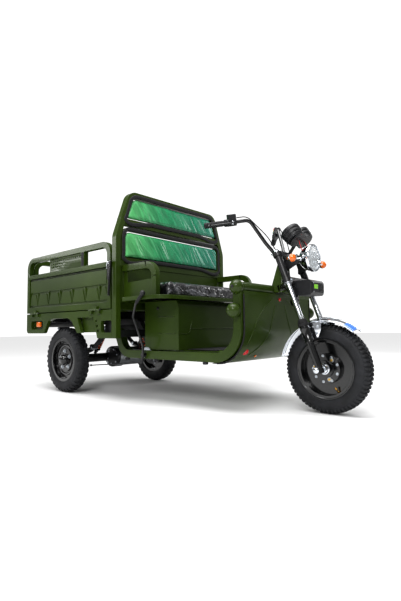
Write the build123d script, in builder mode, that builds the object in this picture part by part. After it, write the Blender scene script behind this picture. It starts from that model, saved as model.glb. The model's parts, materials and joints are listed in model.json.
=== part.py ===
"""An electric cargo tricycle, in millimetres.

+X points forward, +Y to the left, +Z up. The origin is on the ground, midway along the
overall length. A load bed with three drop-down gates stands over the rear axle. In front
of it come a bench seat on a battery box, an open footwell between two bent side rails, a
pressed front shield, and a raked telescopic fork that steers the single front wheel.
"""

import os
from math import cos, radians, sin, tan

from build123d import *

# ---------------------------------------------------------------- driving dimensions
wheelbase = 1948
rear_overhang = 478  # rear axle to the rear face of the bed
rear_track = 937
tyre_diameter = 500
tyre_width = 102
rim_diameter = 310  # bead seat
flange_height = 13

bed_length = 1229  # rear face of the bed to the front face of its main posts
bed_width = 1139
tyre_room = 115  # bed floor above the top of the tyres
gate_height = 470  # top of the gates above the bed floor
gate_thickness = 36
gate_gap = 7  # all round a closed gate
hinge_gap = 11  # hinge axis outside the gate's face
knuckle_radius = 6.5
hinge_pin_radius = 3.5
sill_depth = 45
sheet = 4  # pressed panels
post_depth = 46  # main post, along X
post_width = 40  # main post, along Y
post_drop = 192  # foot of the post below the bed floor

backrest_height = 821  # above the bed floor
shoulder_height = 495  # where the backrest starts to narrow
backrest_taper = 114.5  # narrower on each side at its top
pad_thickness = 40

deck_rise = 75  # seat deck above the bed floor
deck_lip = 25
deck_reach = 434  # seat deck in front of the main posts
deck_corner = 100
cushion_height = 88
arm_height = 221  # armrest above the deck
arm_reach = 334
arm_bar = 43
arm_width = 35

cab_width = 800  # across the outside of the side rails
rail_depth = 55  # side rail, in its own plane
rail_width = 55
rail_bottom_z = 285
floor_z = 345
barrel_width = 760
barrel_rear = 69  # battery box, from the main posts
barrel_front = 389
shield_room = 86  # front tyre to the middle of the pillars
top_bar_drop = 26  # top bar below the lower fork bridge's height
top_bar_radius = 31
ball_radius = 40

rake = 20.5  # degrees from the vertical
fork_offset = 45  # steering axis to the fork legs
axle_setback = 10  # legs to the front axle, along X
leg_spread = 240  # between the two legs
stanchion_radius = 16
slider_radius = 20
front_axle_radius = 8
rear_axle_radius = 15
running_clearance = 0.05
yoke_room = 236  # lower fork bridge above the mudguard, along the steering axis
yoke_spread = 169  # between the two fork bridges
yoke_thickness = 26
mudguard_room = 35  # mudguard outside the tyre
headlamp_radius = 83
grip_radius = 16
bar_radius = 11
cable_radius = 3

# ---------------------------------------------------------------- derived landmarks
tyre_radius = tyre_diameter / 2
bed_floor_z = tyre_diameter + tyre_room
gate_top_z = bed_floor_z + gate_height
post_foot_z = bed_floor_z - post_drop
backrest_top_z = bed_floor_z + backrest_height
shoulder_z = bed_floor_z + shoulder_height
deck_z = bed_floor_z + deck_rise
mudguard_radius = tyre_radius + mudguard_room
lower_yoke_w = mudguard_radius + yoke_room  # heights along the steering axis, above the axle
upper_yoke_w = lower_yoke_w + yoke_spread
top_bar_z = tyre_radius + lower_yoke_w * cos(radians(rake)) - top_bar_drop
rim_radius = rim_diameter / 2
hinge_reach = hinge_gap + knuckle_radius  # the hinges stand this far behind the bed
length = hinge_reach + rear_overhang + wheelbase + tyre_radius
rear_x = -length / 2 + hinge_reach
rear_axle_x = rear_x + rear_overhang
front_axle_x = rear_axle_x + wheelbase
bed_front_x = rear_x + bed_length
post_rear_x = bed_front_x - post_depth
half_bed = bed_width / 2
backrest_top_half = half_bed - backrest_taper
half_cab = cab_width / 2
half_track = rear_track / 2
half_leg = leg_spread / 2
sill_bottom_z = bed_floor_z - sill_depth
gate_bottom_z = bed_floor_z + gate_gap
gate_front_x = post_rear_x - 15
inner_y = half_bed - gate_thickness  # inside face of a closed side gate
hinge_z = bed_floor_z + gate_gap / 2
deck_front_x = bed_front_x + deck_reach
arm_top_z = deck_z + arm_height
barrel_x0 = bed_front_x + barrel_rear
barrel_x1 = bed_front_x + barrel_front
pillar_x = front_axle_x - tyre_radius - shield_room
rail_mid_z = rail_bottom_z + rail_depth / 2
rail_inner_y = half_cab - rail_width
tail_x = rear_x + gate_thickness  # inside face of the closed tailgate

steer = Plane(
    origin=(front_axle_x + axle_setback - fork_offset / cos(radians(rake)), 0, tyre_radius),
    x_dir=(cos(radians(rake)), 0, sin(radians(rake))),
    z_dir=(-sin(radians(rake)), 0, cos(radians(rake))),
)
axle_local = steer.to_local_coords(Vector(front_axle_x, 0, tyre_radius))


# ---------------------------------------------------------------- small helpers
def side_view(y):
    """A plane that looks at the right side: sketch x is +X, sketch y is +Z, out is -Y."""
    return Plane(origin=(0, y, 0), x_dir=(1, 0, 0), z_dir=(0, -1, 0))


def front_view(x):
    """A plane that looks at the front: sketch x is +Y, sketch y is +Z, out is +X."""
    return Plane(origin=(x, 0, 0), x_dir=(0, 1, 0), z_dir=(1, 0, 0))


def steer_view(w):
    """A plane square to the steering axis, w above the axle along it."""
    return steer.offset(w)


def block(x0, x1, y0, y1, z0, z1, mode=Mode.ADD):
    """A box between two corners, in the part being built."""
    with Locations(((x0 + x1) / 2, (y0 + y1) / 2, (z0 + z1) / 2)):
        Box(x1 - x0, y1 - y0, z1 - z0, mode=mode)


def rod(start, end, radius, mode=Mode.ADD):
    """A straight round bar between two points."""
    run = Vector(*end) - Vector(*start)
    with BuildSketch(Plane(origin=start, z_dir=run)) as section:
        Circle(radius)
    extrude(section.sketch, amount=run.length, mode=mode)


def tube(points, bends, radius):
    """A bent round bar through points, with a bend radius at each corner."""
    with BuildLine() as route:
        FilletPolyline(*points, radius=bends)
    with BuildSketch(Plane(origin=route.line @ 0, z_dir=route.line % 0)) as section:
        Circle(radius)
    sweep(section.sketch, path=route.line)


def slab(plane, outline, thickness, bend=0, mode=Mode.ADD):
    """A flat plate of a closed outline, with all its corners rounded by bend."""
    with BuildSketch(plane) as flat:
        with BuildLine():
            Polyline(*outline, close=True)
        make_face()
        if bend:
            fillet(flat.vertices(), bend)
    extrude(flat.sketch, amount=thickness, mode=mode)


def window(plane, centre, size, bend, thickness):
    """A rounded rectangular opening cut through a plate."""
    with BuildSketch(plane) as hole:
        with Locations(centre):
            RectangleRounded(*size, bend)
    extrude(hole.sketch, amount=thickness, both=True, mode=Mode.SUBTRACT)


def finish(piece, name):
    """Names a piece and writes it."""
    piece.part.label = name
    export_step(piece.part, f"parts/{name}.step")


def mirrored(piece):
    """The left-hand twin of a right-hand piece."""
    with BuildPart() as twin:
        mirror(piece.part, about=Plane.XZ)
    return twin


os.makedirs("parts", exist_ok=True)

# ---------------------------------------------------------------- wheels
bead_half = tyre_width / 2 - 13
shoulder_half = tyre_width / 2 - 11
crown_drop = 12
rim_wall = 8
disc_thickness = 8


def wheel_section(centre):
    """The half plane through a wheel's axis: sketch x is the radius, sketch y is +Y."""
    return Plane(origin=centre, x_dir=(1, 0, 0), z_dir=(0, 0, 1))


def make_tyre(centre):
    with BuildPart() as tyre:
        with BuildSketch(wheel_section(centre)):
            with BuildLine():
                bead_top = rim_radius + flange_height + 1
                shoulder = tyre_radius - crown_drop
                widest = (bead_top + shoulder) / 2
                Polyline(
                    (bead_top, -bead_half), (rim_radius, -bead_half),
                    (rim_radius, bead_half), (bead_top, bead_half),
                )
                ThreePointArc((bead_top, bead_half), (widest, tyre_width / 2), (shoulder, shoulder_half))
                ThreePointArc((shoulder, shoulder_half), (tyre_radius, 0), (shoulder, -shoulder_half))
                ThreePointArc((shoulder, -shoulder_half), (widest, -tyre_width / 2), (bead_top, -bead_half))
            make_face()
        revolve(axis=Axis(centre, (0, 1, 0)))
    return tyre


def ring(centre, inner, outer, y0, y1, mode=Mode.ADD):
    """A turned ring about a wheel's axis, from y0 to y1 beside its centre."""
    plane = Plane(origin=(centre[0], centre[1] + y0, centre[2]), x_dir=(1, 0, 0), z_dir=(0, 1, 0))
    with BuildSketch(plane) as section:
        Circle(outer)
        if inner:
            Circle(inner, mode=Mode.SUBTRACT)
    extrude(section.sketch, amount=y1 - y0, mode=mode)


def rim_shell(centre):
    """The well, the flanges and the hub that every wheel has."""
    barrel = rim_radius - rim_wall
    ring(centre, barrel, rim_radius, -bead_half - 5, bead_half + 5)
    for side in (-1, 1):
        edge = sorted((side * bead_half, side * (bead_half + 5)))
        ring(centre, barrel, rim_radius + flange_height, *edge)


hub_radius = 48
front_hub_half = 38
slot_count = 3
slot_radius = 114
slot_width = 50
slot_sweep = 58

with BuildPart() as rim_front:
    hub = (front_axle_x, 0, tyre_radius)
    rim_shell(hub)
    ring(hub, 0, rim_radius - rim_wall + 1, -disc_thickness / 2, disc_thickness / 2)
    ring(hub, 0, 84, -front_hub_half + 4, front_hub_half - 14)
    ring(hub, 0, hub_radius, -front_hub_half - 8, front_hub_half + 8)
    ring(hub, 0, front_axle_radius + running_clearance, -70, 70, mode=Mode.SUBTRACT)
    with BuildSketch(Plane(origin=(hub[0], -disc_thickness, hub[2]), x_dir=(1, 0, 0), z_dir=(0, 1, 0))):
        with PolarLocations(0, slot_count, start_angle=-40):
            SlotArc(CenterArc((0, 0), slot_radius, -slot_sweep / 2, slot_sweep), slot_width)
    extrude(amount=2 * disc_thickness, mode=Mode.SUBTRACT)
finish(rim_front, "rim_front")
finish(make_tyre((front_axle_x, 0, tyre_radius)), "tyre_front")

rear_disc = 12  # disc face outboard of the wheel's middle
rear_hub_out = 34

for side, word in ((-1, "right"), (1, "left")):
    hub = (rear_axle_x, side * half_track, tyre_radius)
    with BuildPart() as rim_rear:
        rim_shell(hub)
        ring(hub, 0, rim_radius - rim_wall + 1, *sorted((side * rear_disc, side * (rear_disc - disc_thickness))))
        ring(hub, 0, 92, *sorted((side * (rear_disc + 8), side * (rear_disc - 10))))
        ring(hub, 0, hub_radius, *sorted((side * rear_hub_out, -side * 30)))
        ring(hub, 0, rear_axle_radius + running_clearance, -70, 70, mode=Mode.SUBTRACT)
    finish(rim_rear, f"rim_rear_{word}")
    finish(make_tyre(hub), f"tyre_rear_{word}")

# ---------------------------------------------------------------- chassis
main_rail_y = 280
main_rail_depth = 60
main_rail_width = 40
bed_rail_z = sill_bottom_z - main_rail_depth / 2
low_rail_z = rail_bottom_z + 22
low_rail_depth = 40
spine_radius = 24
front_bend = 170
head_tube_radius = 30
stem_radius = 14
head_low_w = lower_yoke_w + yoke_thickness / 2 + 6
head_high_w = upper_yoke_w - yoke_thickness / 2 - 6


def on_axis(w, u=0):
    """A point w up the steering axis and u in front of it."""
    return tuple(steer.from_local_coords(Vector(u, 0, w)))


with BuildPart() as chassis_frame:
    for side in (-1, 1):
        y = side * main_rail_y
        with BuildSketch(side_view(y + main_rail_width / 2)):
            with BuildLine():
                FilletPolyline(
                    (rear_x + 30, bed_rail_z), (post_rear_x - 60, bed_rail_z),
                    (barrel_x0 - 12, low_rail_z), (pillar_x - 170, low_rail_z), radius=60,
                )
            trace(line_width=low_rail_depth)
        extrude(amount=main_rail_width)
    bed_crosses = [rear_x + 90, rear_axle_x - 150, rear_axle_x + 150, rear_axle_x + 400]
    for x in bed_crosses:
        block(x - 20, x + 20, -half_bed + post_width, half_bed - post_width,
              sill_bottom_z - 25, bed_floor_z - sheet)
    block(post_rear_x + 3, bed_front_x - 3, -half_bed + post_width, half_bed - post_width,
          post_foot_z + 7, post_foot_z + 57)
    for x in (barrel_x0 + 60, barrel_x1 + 60, pillar_x - 190):
        block(x - 20, x + 20, -rail_inner_y, rail_inner_y, low_rail_z - 20, low_rail_z + 20)
    tube(
        [(pillar_x - 200, 0, low_rail_z), (pillar_x - 5, 0, low_rail_z), (pillar_x - 5, 0, top_bar_z)],
        front_bend, spine_radius,
    )
    rod((pillar_x, -60, top_bar_z), (pillar_x, 60, top_bar_z), top_bar_radius, mode=Mode.SUBTRACT)
finish(chassis_frame, "chassis_frame")

# ---------------------------------------------------------------- load bed
rib_count = 8
rib_width = 34
rib_height = 5
tail_hinge_y = 330
floor_half = half_bed - post_width

with BuildPart() as bed_floor:
    block(tail_x + 2, post_rear_x - 34, -floor_half, floor_half, bed_floor_z - sheet, bed_floor_z)
    for k in range(rib_count):
        y = (k + 0.5 - rib_count / 2) * 2 * floor_half / rib_count
        block(tail_x + 40, post_rear_x - 70, y - rib_width / 2, y + rib_width / 2,
              bed_floor_z - 1, bed_floor_z + rib_height)
    block(rear_x, tail_x + 4, -half_bed + post_width, half_bed - post_width, sill_bottom_z, bed_floor_z)
    for y in (-tail_hinge_y, tail_hinge_y):
        for y0 in (y - 62, y + 32):
            rod((rear_x - hinge_gap, y0, hinge_z), (rear_x - hinge_gap, y0 + 30, hinge_z), knuckle_radius)
            block(rear_x - hinge_gap - 3, rear_x, y0, y0 + 30, bed_floor_z - 25, hinge_z - 3)
        rod((rear_x - hinge_gap, y - 40, hinge_z), (rear_x - hinge_gap, y + 40, hinge_z), hinge_pin_radius)
finish(bed_floor, "bed_floor")

with BuildPart() as bed_headboard:
    board_x = post_rear_x
    board_half = inner_y - gate_gap
    block(board_x - 30, board_x, -board_half, board_half, bed_floor_z + 1, gate_top_z - 40)
    for z0, z1 in ((bed_floor_z + 40, bed_floor_z + 200), (bed_floor_z + 235, gate_top_z - 75)):
        for k in range(3):
            y0 = -board_half + 35 + k * (2 * board_half - 35) / 3
            block(board_x - 40, board_x - 12, y0, y0 + (2 * board_half - 35) / 3 - 35, z0, z1,
                  mode=Mode.SUBTRACT)
finish(bed_headboard, "bed_headboard")

# The skirt under each side: a sill rail, a rear corner bracket, the two legs of the
# wheel arch and a front bracket that meets the main post.
skirt_thickness = 28
corner_x = rear_axle_x
corner_window_x = (rear_x + corner_x) / 2 - 65
corner_window_width = 190
marker_x = rear_axle_x - 295

with BuildPart() as bed_skirt_right:
    plane = side_view(-half_bed + skirt_thickness)
    block(rear_x, post_rear_x, -half_bed, -half_bed + post_width, sill_bottom_z, bed_floor_z)
    with BuildSketch(plane) as corner:
        with BuildLine():
            Polyline(
                (rear_x, sill_bottom_z + 1), (rear_x, sill_bottom_z - 115),
                (corner_x - 190, sill_bottom_z - 115), (corner_x - 125, sill_bottom_z - 18),
                (corner_x - 45, sill_bottom_z + 1), close=True,
            )
        make_face()
        fillet(corner.vertices().sort_by(Axis.Y)[:2], 32)
    extrude(amount=skirt_thickness)
    window(side_view(-half_bed), (corner_window_x, sill_bottom_z - 48), (corner_window_width, 68), 20, 60)
    slab(plane, [
        (corner_x + 154, sill_bottom_z + 1), (corner_x + 214, sill_bottom_z - 22),
        (corner_x + 288, sill_bottom_z - 111), (corner_x + 340, sill_bottom_z - 111),
        (corner_x + 292, sill_bottom_z + 1)], skirt_thickness)
    slab(plane, [
        (post_rear_x - 215, sill_bottom_z + 1), (post_rear_x - 164, post_foot_z),
        (post_rear_x, post_foot_z), (post_rear_x, sill_bottom_z + 1)], skirt_thickness)
    window(side_view(-half_bed), (post_rear_x - 62, post_foot_z + 79), (118, 80), 16, 60)
    for k in range(3):
        window(side_view(-half_bed), (post_rear_x - 178 + 11 * k, post_foot_z + 118 - 34 * k), (17, 17), 2, 60)
    # Skirt plate behind the arch, between its front leg and the front bracket.
    block(corner_x + 300, post_rear_x - 160, -half_bed + post_width - sheet, -half_bed + post_width,
          sill_bottom_z - 105, sill_bottom_z + 1)
    # The plate that closes the back of the corner's opening and carries its marker lamp.
    block(corner_window_x - corner_window_width / 2 - 5, corner_window_x + corner_window_width / 2 + 5,
          -half_bed + skirt_thickness, -half_bed + skirt_thickness + sheet, sill_bottom_z - 88, sill_bottom_z + 1)
    for x in (rear_x + 150, gate_front_x - 170):
        for x0 in (x - 62, x + 32):
            rod((x0, -half_bed - hinge_gap, hinge_z), (x0 + 30, -half_bed - hinge_gap, hinge_z), knuckle_radius)
            block(x0, x0 + 30, -half_bed - hinge_gap - 3, -half_bed + 4, bed_floor_z - 25, hinge_z - 3)
        rod((x - 40, -half_bed - hinge_gap, hinge_z), (x + 40, -half_bed - hinge_gap, hinge_z), hinge_pin_radius)
finish(bed_skirt_right, "bed_skirt_right")
bed_skirt_left = mirrored(bed_skirt_right)
finish(bed_skirt_left, "bed_skirt_left")

# ---------------------------------------------------------------- gates
gate_bar = 40
panel_recess = 14
mid_rail_low = gate_bottom_z + 285
mid_rail_high = mid_rail_low + 34
flute_pitch = 172
flute_count = 6
flute_half = 34  # at the top of a flute, which tapers to a point
plate_low = gate_bottom_z + 62
plate_high = gate_bottom_z + 152
band_low = gate_bottom_z + 170
band_high = mid_rail_low - 16
gate_corner = 95


def gate_panel(plane, x0, x1, depth):
    """The pressed gate, drawn in its own plane between x0 and x1, and as thick as depth."""
    with BuildSketch(plane) as outline:
        with BuildLine():
            Polyline((x0, gate_bottom_z), (x1, gate_bottom_z), (x1, gate_top_z), (x0, gate_top_z),
                     close=True)
        make_face()
        fillet(outline.vertices().sort_by(Axis.Y)[-2:], gate_corner)
    extrude(outline.sketch, amount=-depth)
    # The panel lies back from the frame round it, on both faces.
    for face_at, thick in ((plane, -panel_recess), (plane.offset(-depth), 9)):
        with BuildSketch(face_at) as recess:
            with Locations(((x0 + x1) / 2, (gate_bottom_z + 46 + mid_rail_low) / 2)):
                RectangleRounded(x1 - x0 - 2 * gate_bar, mid_rail_low - gate_bottom_z - 46, 8)
        extrude(recess.sketch, amount=thick, mode=Mode.SUBTRACT)


def gate_pressing(plane, x0, x1, flutes):
    """The relief of a gate's panel: an upper band, and under it plates parted by flutes with a rib in each."""
    slab(plane, [(x0, band_low), (x1, band_low), (x1, band_high), (x0, band_high)], panel_recess - 5)
    for left, right in zip([x0 - flute_half / 2] + flutes, flutes + [x1 + flute_half / 2]):
        slab(plane, [(left + 3, plate_low), (right - 3, plate_low), (right - flute_half, plate_high),
                     (left + flute_half, plate_high)], panel_recess - 7)
    for x in flutes:
        slab(plane, [(x, plate_low + 22), (x + 9, plate_high + 4), (x, plate_high + 14), (x - 9, plate_high + 4)],
             panel_recess - 4)


def gate_light(plane, x0, x1, depth, left_round, right_round):
    """An opening between the middle rail and the top rail."""
    top = gate_top_z - gate_bar
    with BuildSketch(plane) as light:
        with BuildLine():
            Polyline((x0, mid_rail_high), (x1, mid_rail_high), (x1, top), (x0, top), close=True)
        make_face()
        corners = light.vertices().sort_by(Axis.Y)[-2:].sort_by(Axis.X)
        if left_round:
            fillet(corners[0], gate_corner - gate_bar)
        if right_round:
            corners = light.vertices().sort_by(Axis.X)[-2:].sort_by(Axis.Y)
            fillet(corners[-1], gate_corner - gate_bar)
    extrude(light.sketch, amount=-depth - 5, mode=Mode.SUBTRACT)


def gate_knuckles(points, along, leaf):
    """Hinge eyes on a gate, each bored for the pin that the sill holds."""
    for x, y in points:
        start = Vector(x, y, hinge_z) - along * 29
        end = Vector(x, y, hinge_z) + along * 29
        leaf(x, y)
        rod(tuple(start), tuple(end), knuckle_radius)
        rod(tuple(start - along), tuple(end + along), hinge_pin_radius + 0.3, mode=Mode.SUBTRACT)


mesh_x0 = rear_axle_x - 137
mesh_x1 = rear_axle_x + 335

with BuildPart() as side_gate_right:
    face = side_view(-half_bed)
    gate_panel(face, rear_x, gate_front_x, gate_thickness)
    gate_light(face, rear_x + gate_bar, mesh_x0, gate_thickness, True, False)
    gate_light(face, mesh_x1 + gate_bar, gate_front_x - gate_bar, gate_thickness, False, True)
    block(mesh_x0 - 1, mesh_x1 + 1, -half_bed - 1, -half_bed + 16, mid_rail_high, gate_top_z - gate_bar,
          mode=Mode.SUBTRACT)
    block(mesh_x0 - 1, mesh_x1 + 1, -half_bed + 20, -inner_y + 1, mid_rail_high, gate_top_z - gate_bar,
          mode=Mode.SUBTRACT)
    gate_pressing(side_view(-half_bed + panel_recess), rear_x + gate_bar + 12, gate_front_x - gate_bar - 12,
                  [rear_axle_x - 307 + k * flute_pitch for k in range(flute_count)])
    gate_knuckles(
        [(rear_x + 150, -half_bed - hinge_gap), (gate_front_x - 170, -half_bed - hinge_gap)],
        Vector(1, 0, 0),
        lambda x, y: block(x - 29, x + 29, y - 3, -half_bed + 2, hinge_z + 4, hinge_z + 26),
    )
finish(side_gate_right, "side_gate_right")
side_gate_left = mirrored(side_gate_right)
finish(side_gate_left, "side_gate_left")

latch_x = gate_front_x + 4

with BuildPart() as gate_latch_right:
    latch_y = -half_bed
    block(latch_x - 34, latch_x - 14, latch_y - 8, latch_y, mid_rail_low - 90, mid_rail_high)
    rod((latch_x - 24, latch_y - 8, mid_rail_low - 10), (latch_x + 18, latch_y - 16, mid_rail_high - 6), 6)
    rod((latch_x + 14, latch_y - 15, mid_rail_high - 10), (latch_x + 8, latch_y - 24, gate_bottom_z + 84), 8)
    with Locations((latch_x + 14, latch_y - 18, mid_rail_high - 10)):
        Sphere(12)
    block(latch_x - 60, latch_x + 60, latch_y, latch_y + 40, gate_bottom_z, gate_top_z, mode=Mode.SUBTRACT)
finish(gate_latch_right, "gate_latch_right")
gate_latch_left = mirrored(gate_latch_right)
finish(gate_latch_left, "gate_latch_left")

tail_half = inner_y - gate_gap

with BuildPart() as tailgate:
    face = Plane(origin=(rear_x, 0, 0), x_dir=(0, -1, 0), z_dir=(-1, 0, 0))
    gate_panel(face, -tail_half, tail_half, gate_thickness)
    gate_light(face, -tail_half + gate_bar, -gate_bar / 2, gate_thickness, True, False)
    gate_light(face, gate_bar / 2, tail_half - gate_bar, gate_thickness, False, True)
    flute_step = 2 * (tail_half - gate_bar) / flute_count
    gate_pressing(face.offset(-panel_recess), -tail_half + gate_bar + 12, tail_half - gate_bar - 12,
                  [(k + 0.5 - flute_count / 2) * flute_step for k in range(flute_count)])
    gate_knuckles(
        [(rear_x - hinge_gap, -tail_hinge_y), (rear_x - hinge_gap, tail_hinge_y)],
        Vector(0, 1, 0),
        lambda x, y: block(x - 3, rear_x + 2, y - 29, y + 29, hinge_z + 4, hinge_z + 26),
    )
finish(tailgate, "tailgate")

# ---------------------------------------------------------------- backrest
upper_bar_z = shoulder_z + 80
upper_bar_top = upper_bar_z + 48
pad_frame_z = shoulder_z - 165
pad_frame_top = upper_bar_z - 10
pad_frame_half = half_bed - 49.5
pad_frame_bar = 24
cross_rail_z = pad_frame_z - 40

frame_outline = [
    (-half_bed, post_foot_z), (-half_bed, shoulder_z), (-backrest_top_half, backrest_top_z),
    (backrest_top_half, backrest_top_z), (half_bed, shoulder_z), (half_bed, post_foot_z),
]


with BuildPart() as backrest_frame:
    with BuildSketch(front_view(post_rear_x)) as loop:
        with BuildLine():
            Polyline(*frame_outline, close=True)
        make_face()
        tops = loop.vertices().sort_by(Axis.Y)
        fillet(tops[-2:], 90)
        fillet(loop.vertices().filter_by_position(Axis.Y, shoulder_z - 1, shoulder_z + 1), 120)
        offset(amount=-post_width, mode=Mode.SUBTRACT)
        with Locations((0, post_foot_z)):
            Rectangle(bed_width - 2 * post_width, 2 * post_width + 2, mode=Mode.SUBTRACT)
    extrude(amount=post_depth)
    slope = (half_bed - backrest_top_half) / (backrest_top_z - shoulder_z)
    bar_half = half_bed - slope * (upper_bar_z - shoulder_z) - 10
    block(post_rear_x + 6, bed_front_x - 4, -bar_half, bar_half, upper_bar_z, upper_bar_top)
    block(post_rear_x + 6, bed_front_x - 4, -half_bed + 5, half_bed - 5, cross_rail_z, pad_frame_z)
    with BuildSketch(front_view(bed_front_x - 34)) as pad_loop:
        with Locations((0, (pad_frame_z + pad_frame_top) / 2)):
            Rectangle(2 * pad_frame_half, pad_frame_top - pad_frame_z)
        fillet(pad_loop.vertices().sort_by(Axis.Y)[-2:], 70)
        offset(amount=-pad_frame_bar, mode=Mode.SUBTRACT)
    extrude(amount=30)
    # Sheet below the pads, down to the seat deck.
    block(bed_front_x - 12, bed_front_x - 12 + sheet, -half_bed + 30, half_bed - 30, deck_z - deck_lip, cross_rail_z + 5)
finish(backrest_frame, "backrest_frame")

pad_clear = 1.5

with BuildPart() as backrest_pad_upper:
    z0, z1 = upper_bar_top + pad_clear, backrest_top_z - post_width - pad_clear
    low = half_bed - slope * (z0 - shoulder_z) - post_width * 1.06 - pad_clear - 2
    high = half_bed - slope * (z1 - shoulder_z) - post_width * 1.06 - pad_clear - 2
    with BuildSketch(front_view(post_rear_x + 8)) as pad:
        with BuildLine():
            Polyline((-low, z0), (low, z0), (high, z1), (-high, z1), close=True)
        make_face()
        fillet(pad.vertices().sort_by(Axis.Y)[-2:], 56)
    extrude(amount=pad_thickness - 6)
finish(backrest_pad_upper, "backrest_pad_upper")

with BuildPart() as backrest_pad_lower:
    inset = pad_frame_bar + pad_clear
    with BuildSketch(front_view(bed_front_x - 38)) as pad:
        with Locations((0, (pad_frame_z + pad_frame_top) / 2)):
            Rectangle(2 * (pad_frame_half - inset), pad_frame_top - pad_frame_z - 2 * inset)
        fillet(pad.vertices().sort_by(Axis.Y)[-2:], 44)
    extrude(amount=pad_thickness - 4)
finish(backrest_pad_lower, "backrest_pad_lower")

# ---------------------------------------------------------------- seat
with BuildPart() as seat_deck:
    neck = half_bed - 52
    edge = half_bed
    with BuildSketch(Plane.XY.offset(deck_z)) as top:
        with BuildLine():
            Polyline(
                (bed_front_x, -neck), (bed_front_x + 64, -neck), (bed_front_x + 64, -edge),
                (deck_front_x, -edge), (deck_front_x, edge), (bed_front_x + 64, edge),
                (bed_front_x + 64, neck), (bed_front_x, neck), close=True,
            )
        make_face()
        fillet(top.vertices().sort_by(Axis.X)[-2:], deck_corner)
    extrude(amount=-deck_lip)
    with BuildSketch(Plane.XY.offset(deck_z - sheet)):
        add(top.sketch.moved(Location((0, 0, -sheet))))
        offset(amount=-sheet, mode=Mode.REPLACE)
    extrude(amount=-deck_lip, mode=Mode.SUBTRACT)
finish(seat_deck, "seat_deck")

arm_inner_y = half_bed - 85
cushion_half = arm_inner_y - 22.5

with BuildPart() as seat_cushion:
    block(bed_front_x + 38, deck_front_x - 46, -cushion_half, cushion_half, deck_z, deck_z + cushion_height)
    fillet(seat_cushion.edges().filter_by(Axis.Z), 30)
    fillet(seat_cushion.edges().group_by(Axis.Z)[-1], 22)
finish(seat_cushion, "seat_cushion")

with BuildPart() as seat_barrel:
    bevel = 38
    half = barrel_width / 2
    top_z = deck_z - deck_lip
    slab(side_view(half), [
        (barrel_x0, floor_z), (barrel_x1, floor_z), (barrel_x1, top_z - bevel),
        (barrel_x1 - bevel / 2, top_z), (barrel_x0, top_z)], barrel_width)
    slab(side_view(half - sheet), [
        (barrel_x0 + sheet, floor_z + sheet), (barrel_x1 - sheet, floor_z + sheet),
        (barrel_x1 - sheet, top_z - bevel), (barrel_x1 - sheet - bevel / 2, top_z + 1),
        (barrel_x0 + sheet, top_z + 1)], barrel_width - 2 * sheet, mode=Mode.SUBTRACT)
finish(seat_barrel, "seat_barrel")

with BuildPart() as battery_pack:
    block(barrel_x0 + 30, barrel_x1 - 30, -300, 300, floor_z + sheet, floor_z + sheet + 200)
finish(battery_pack, "battery_pack")

with BuildPart() as armrest_right:
    y0 = -arm_inner_y - arm_width
    arm_x = bed_front_x + arm_reach
    with BuildSketch(side_view(y0 + arm_width)) as loop:
        with BuildLine():
            FilletPolyline(
                (bed_front_x, arm_top_z - arm_bar / 2), (arm_x - arm_bar / 2, arm_top_z - arm_bar / 2),
                (arm_x - arm_bar / 2, deck_z), radius=72,
            )
        trace(line_width=arm_bar)
    extrude(amount=arm_width)
    block(arm_x - arm_bar - 10, arm_x + 10, y0 - 20, y0 + arm_width + 20, deck_z - 60, deck_z, mode=Mode.SUBTRACT)
    block(bed_front_x - 60, bed_front_x, y0 - 20, y0 + arm_width + 20, deck_z, arm_top_z + 50, mode=Mode.SUBTRACT)
    slab(side_view(y0 + 20), [
        (bed_front_x, deck_z), (arm_x - arm_bar + 2, deck_z), (arm_x - arm_bar + 2, arm_top_z - 110),
        (bed_front_x + 40, arm_top_z - 118), (bed_front_x + 40, arm_top_z - arm_bar + 2),
        (bed_front_x, arm_top_z - arm_bar + 2)], 5)
finish(armrest_right, "armrest_right")
armrest_left = mirrored(armrest_right)
finish(armrest_left, "armrest_left")

# ---------------------------------------------------------------- footwell and front
ball_z = 580

with BuildPart() as footwell_floor:
    block(barrel_x1, pillar_x - 150, -rail_inner_y, rail_inner_y, floor_z - sheet, floor_z)
    for k in range(9):
        y = (k - 4) * 72
        block(barrel_x1 + 30, pillar_x - 180, y - 14, y + 14, floor_z - 1, floor_z + 4)
finish(footwell_floor, "footwell_floor")

with BuildPart() as top_bar:
    rod((pillar_x, -half_cab, top_bar_z), (pillar_x, half_cab, top_bar_z), top_bar_radius)
    for side in (-1, 1):
        with Locations((pillar_x, side * half_cab, top_bar_z)):
            Sphere(ball_radius)
finish(top_bar, "top_bar")

with BuildPart() as side_rail_right:
    with BuildSketch(side_view(-rail_inner_y)):
        with BuildLine():
            FilletPolyline(
                (post_rear_x - 175, rail_mid_z + 165), (post_rear_x - 100, rail_mid_z),
                (pillar_x, rail_mid_z), (pillar_x, top_bar_z - 14), radius=(110, front_bend),
            )
        trace(line_width=rail_depth)
    extrude(amount=rail_width)
    rod((pillar_x, -half_cab + 130, ball_z), (pillar_x, -half_cab - 20, ball_z), 20)
    with Locations((pillar_x, -half_cab - 30, ball_z)):
        Sphere(ball_radius)
    add(top_bar.part, mode=Mode.SUBTRACT)
finish(side_rail_right, "side_rail_right")
side_rail_left = mirrored(side_rail_right)
finish(side_rail_left, "side_rail_left")

# The shield follows the side rails' outer bend, a little in front of them.
shield_gap = 4
shield_half = half_cab - 20

with BuildPart() as front_shield:
    face_x = pillar_x + rail_depth / 2 + shield_gap
    low_z = rail_bottom_z - shield_gap - sheet / 2
    with BuildSketch(side_view(shield_half)):
        with BuildLine():
            FilletPolyline(
                (pillar_x - 200, low_z), (face_x, low_z), (face_x, top_bar_z - top_bar_radius - 8),
                radius=front_bend + rail_depth / 2,
            )
        trace(line_width=sheet)
    extrude(amount=2 * shield_half)
finish(front_shield, "front_shield")

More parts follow.
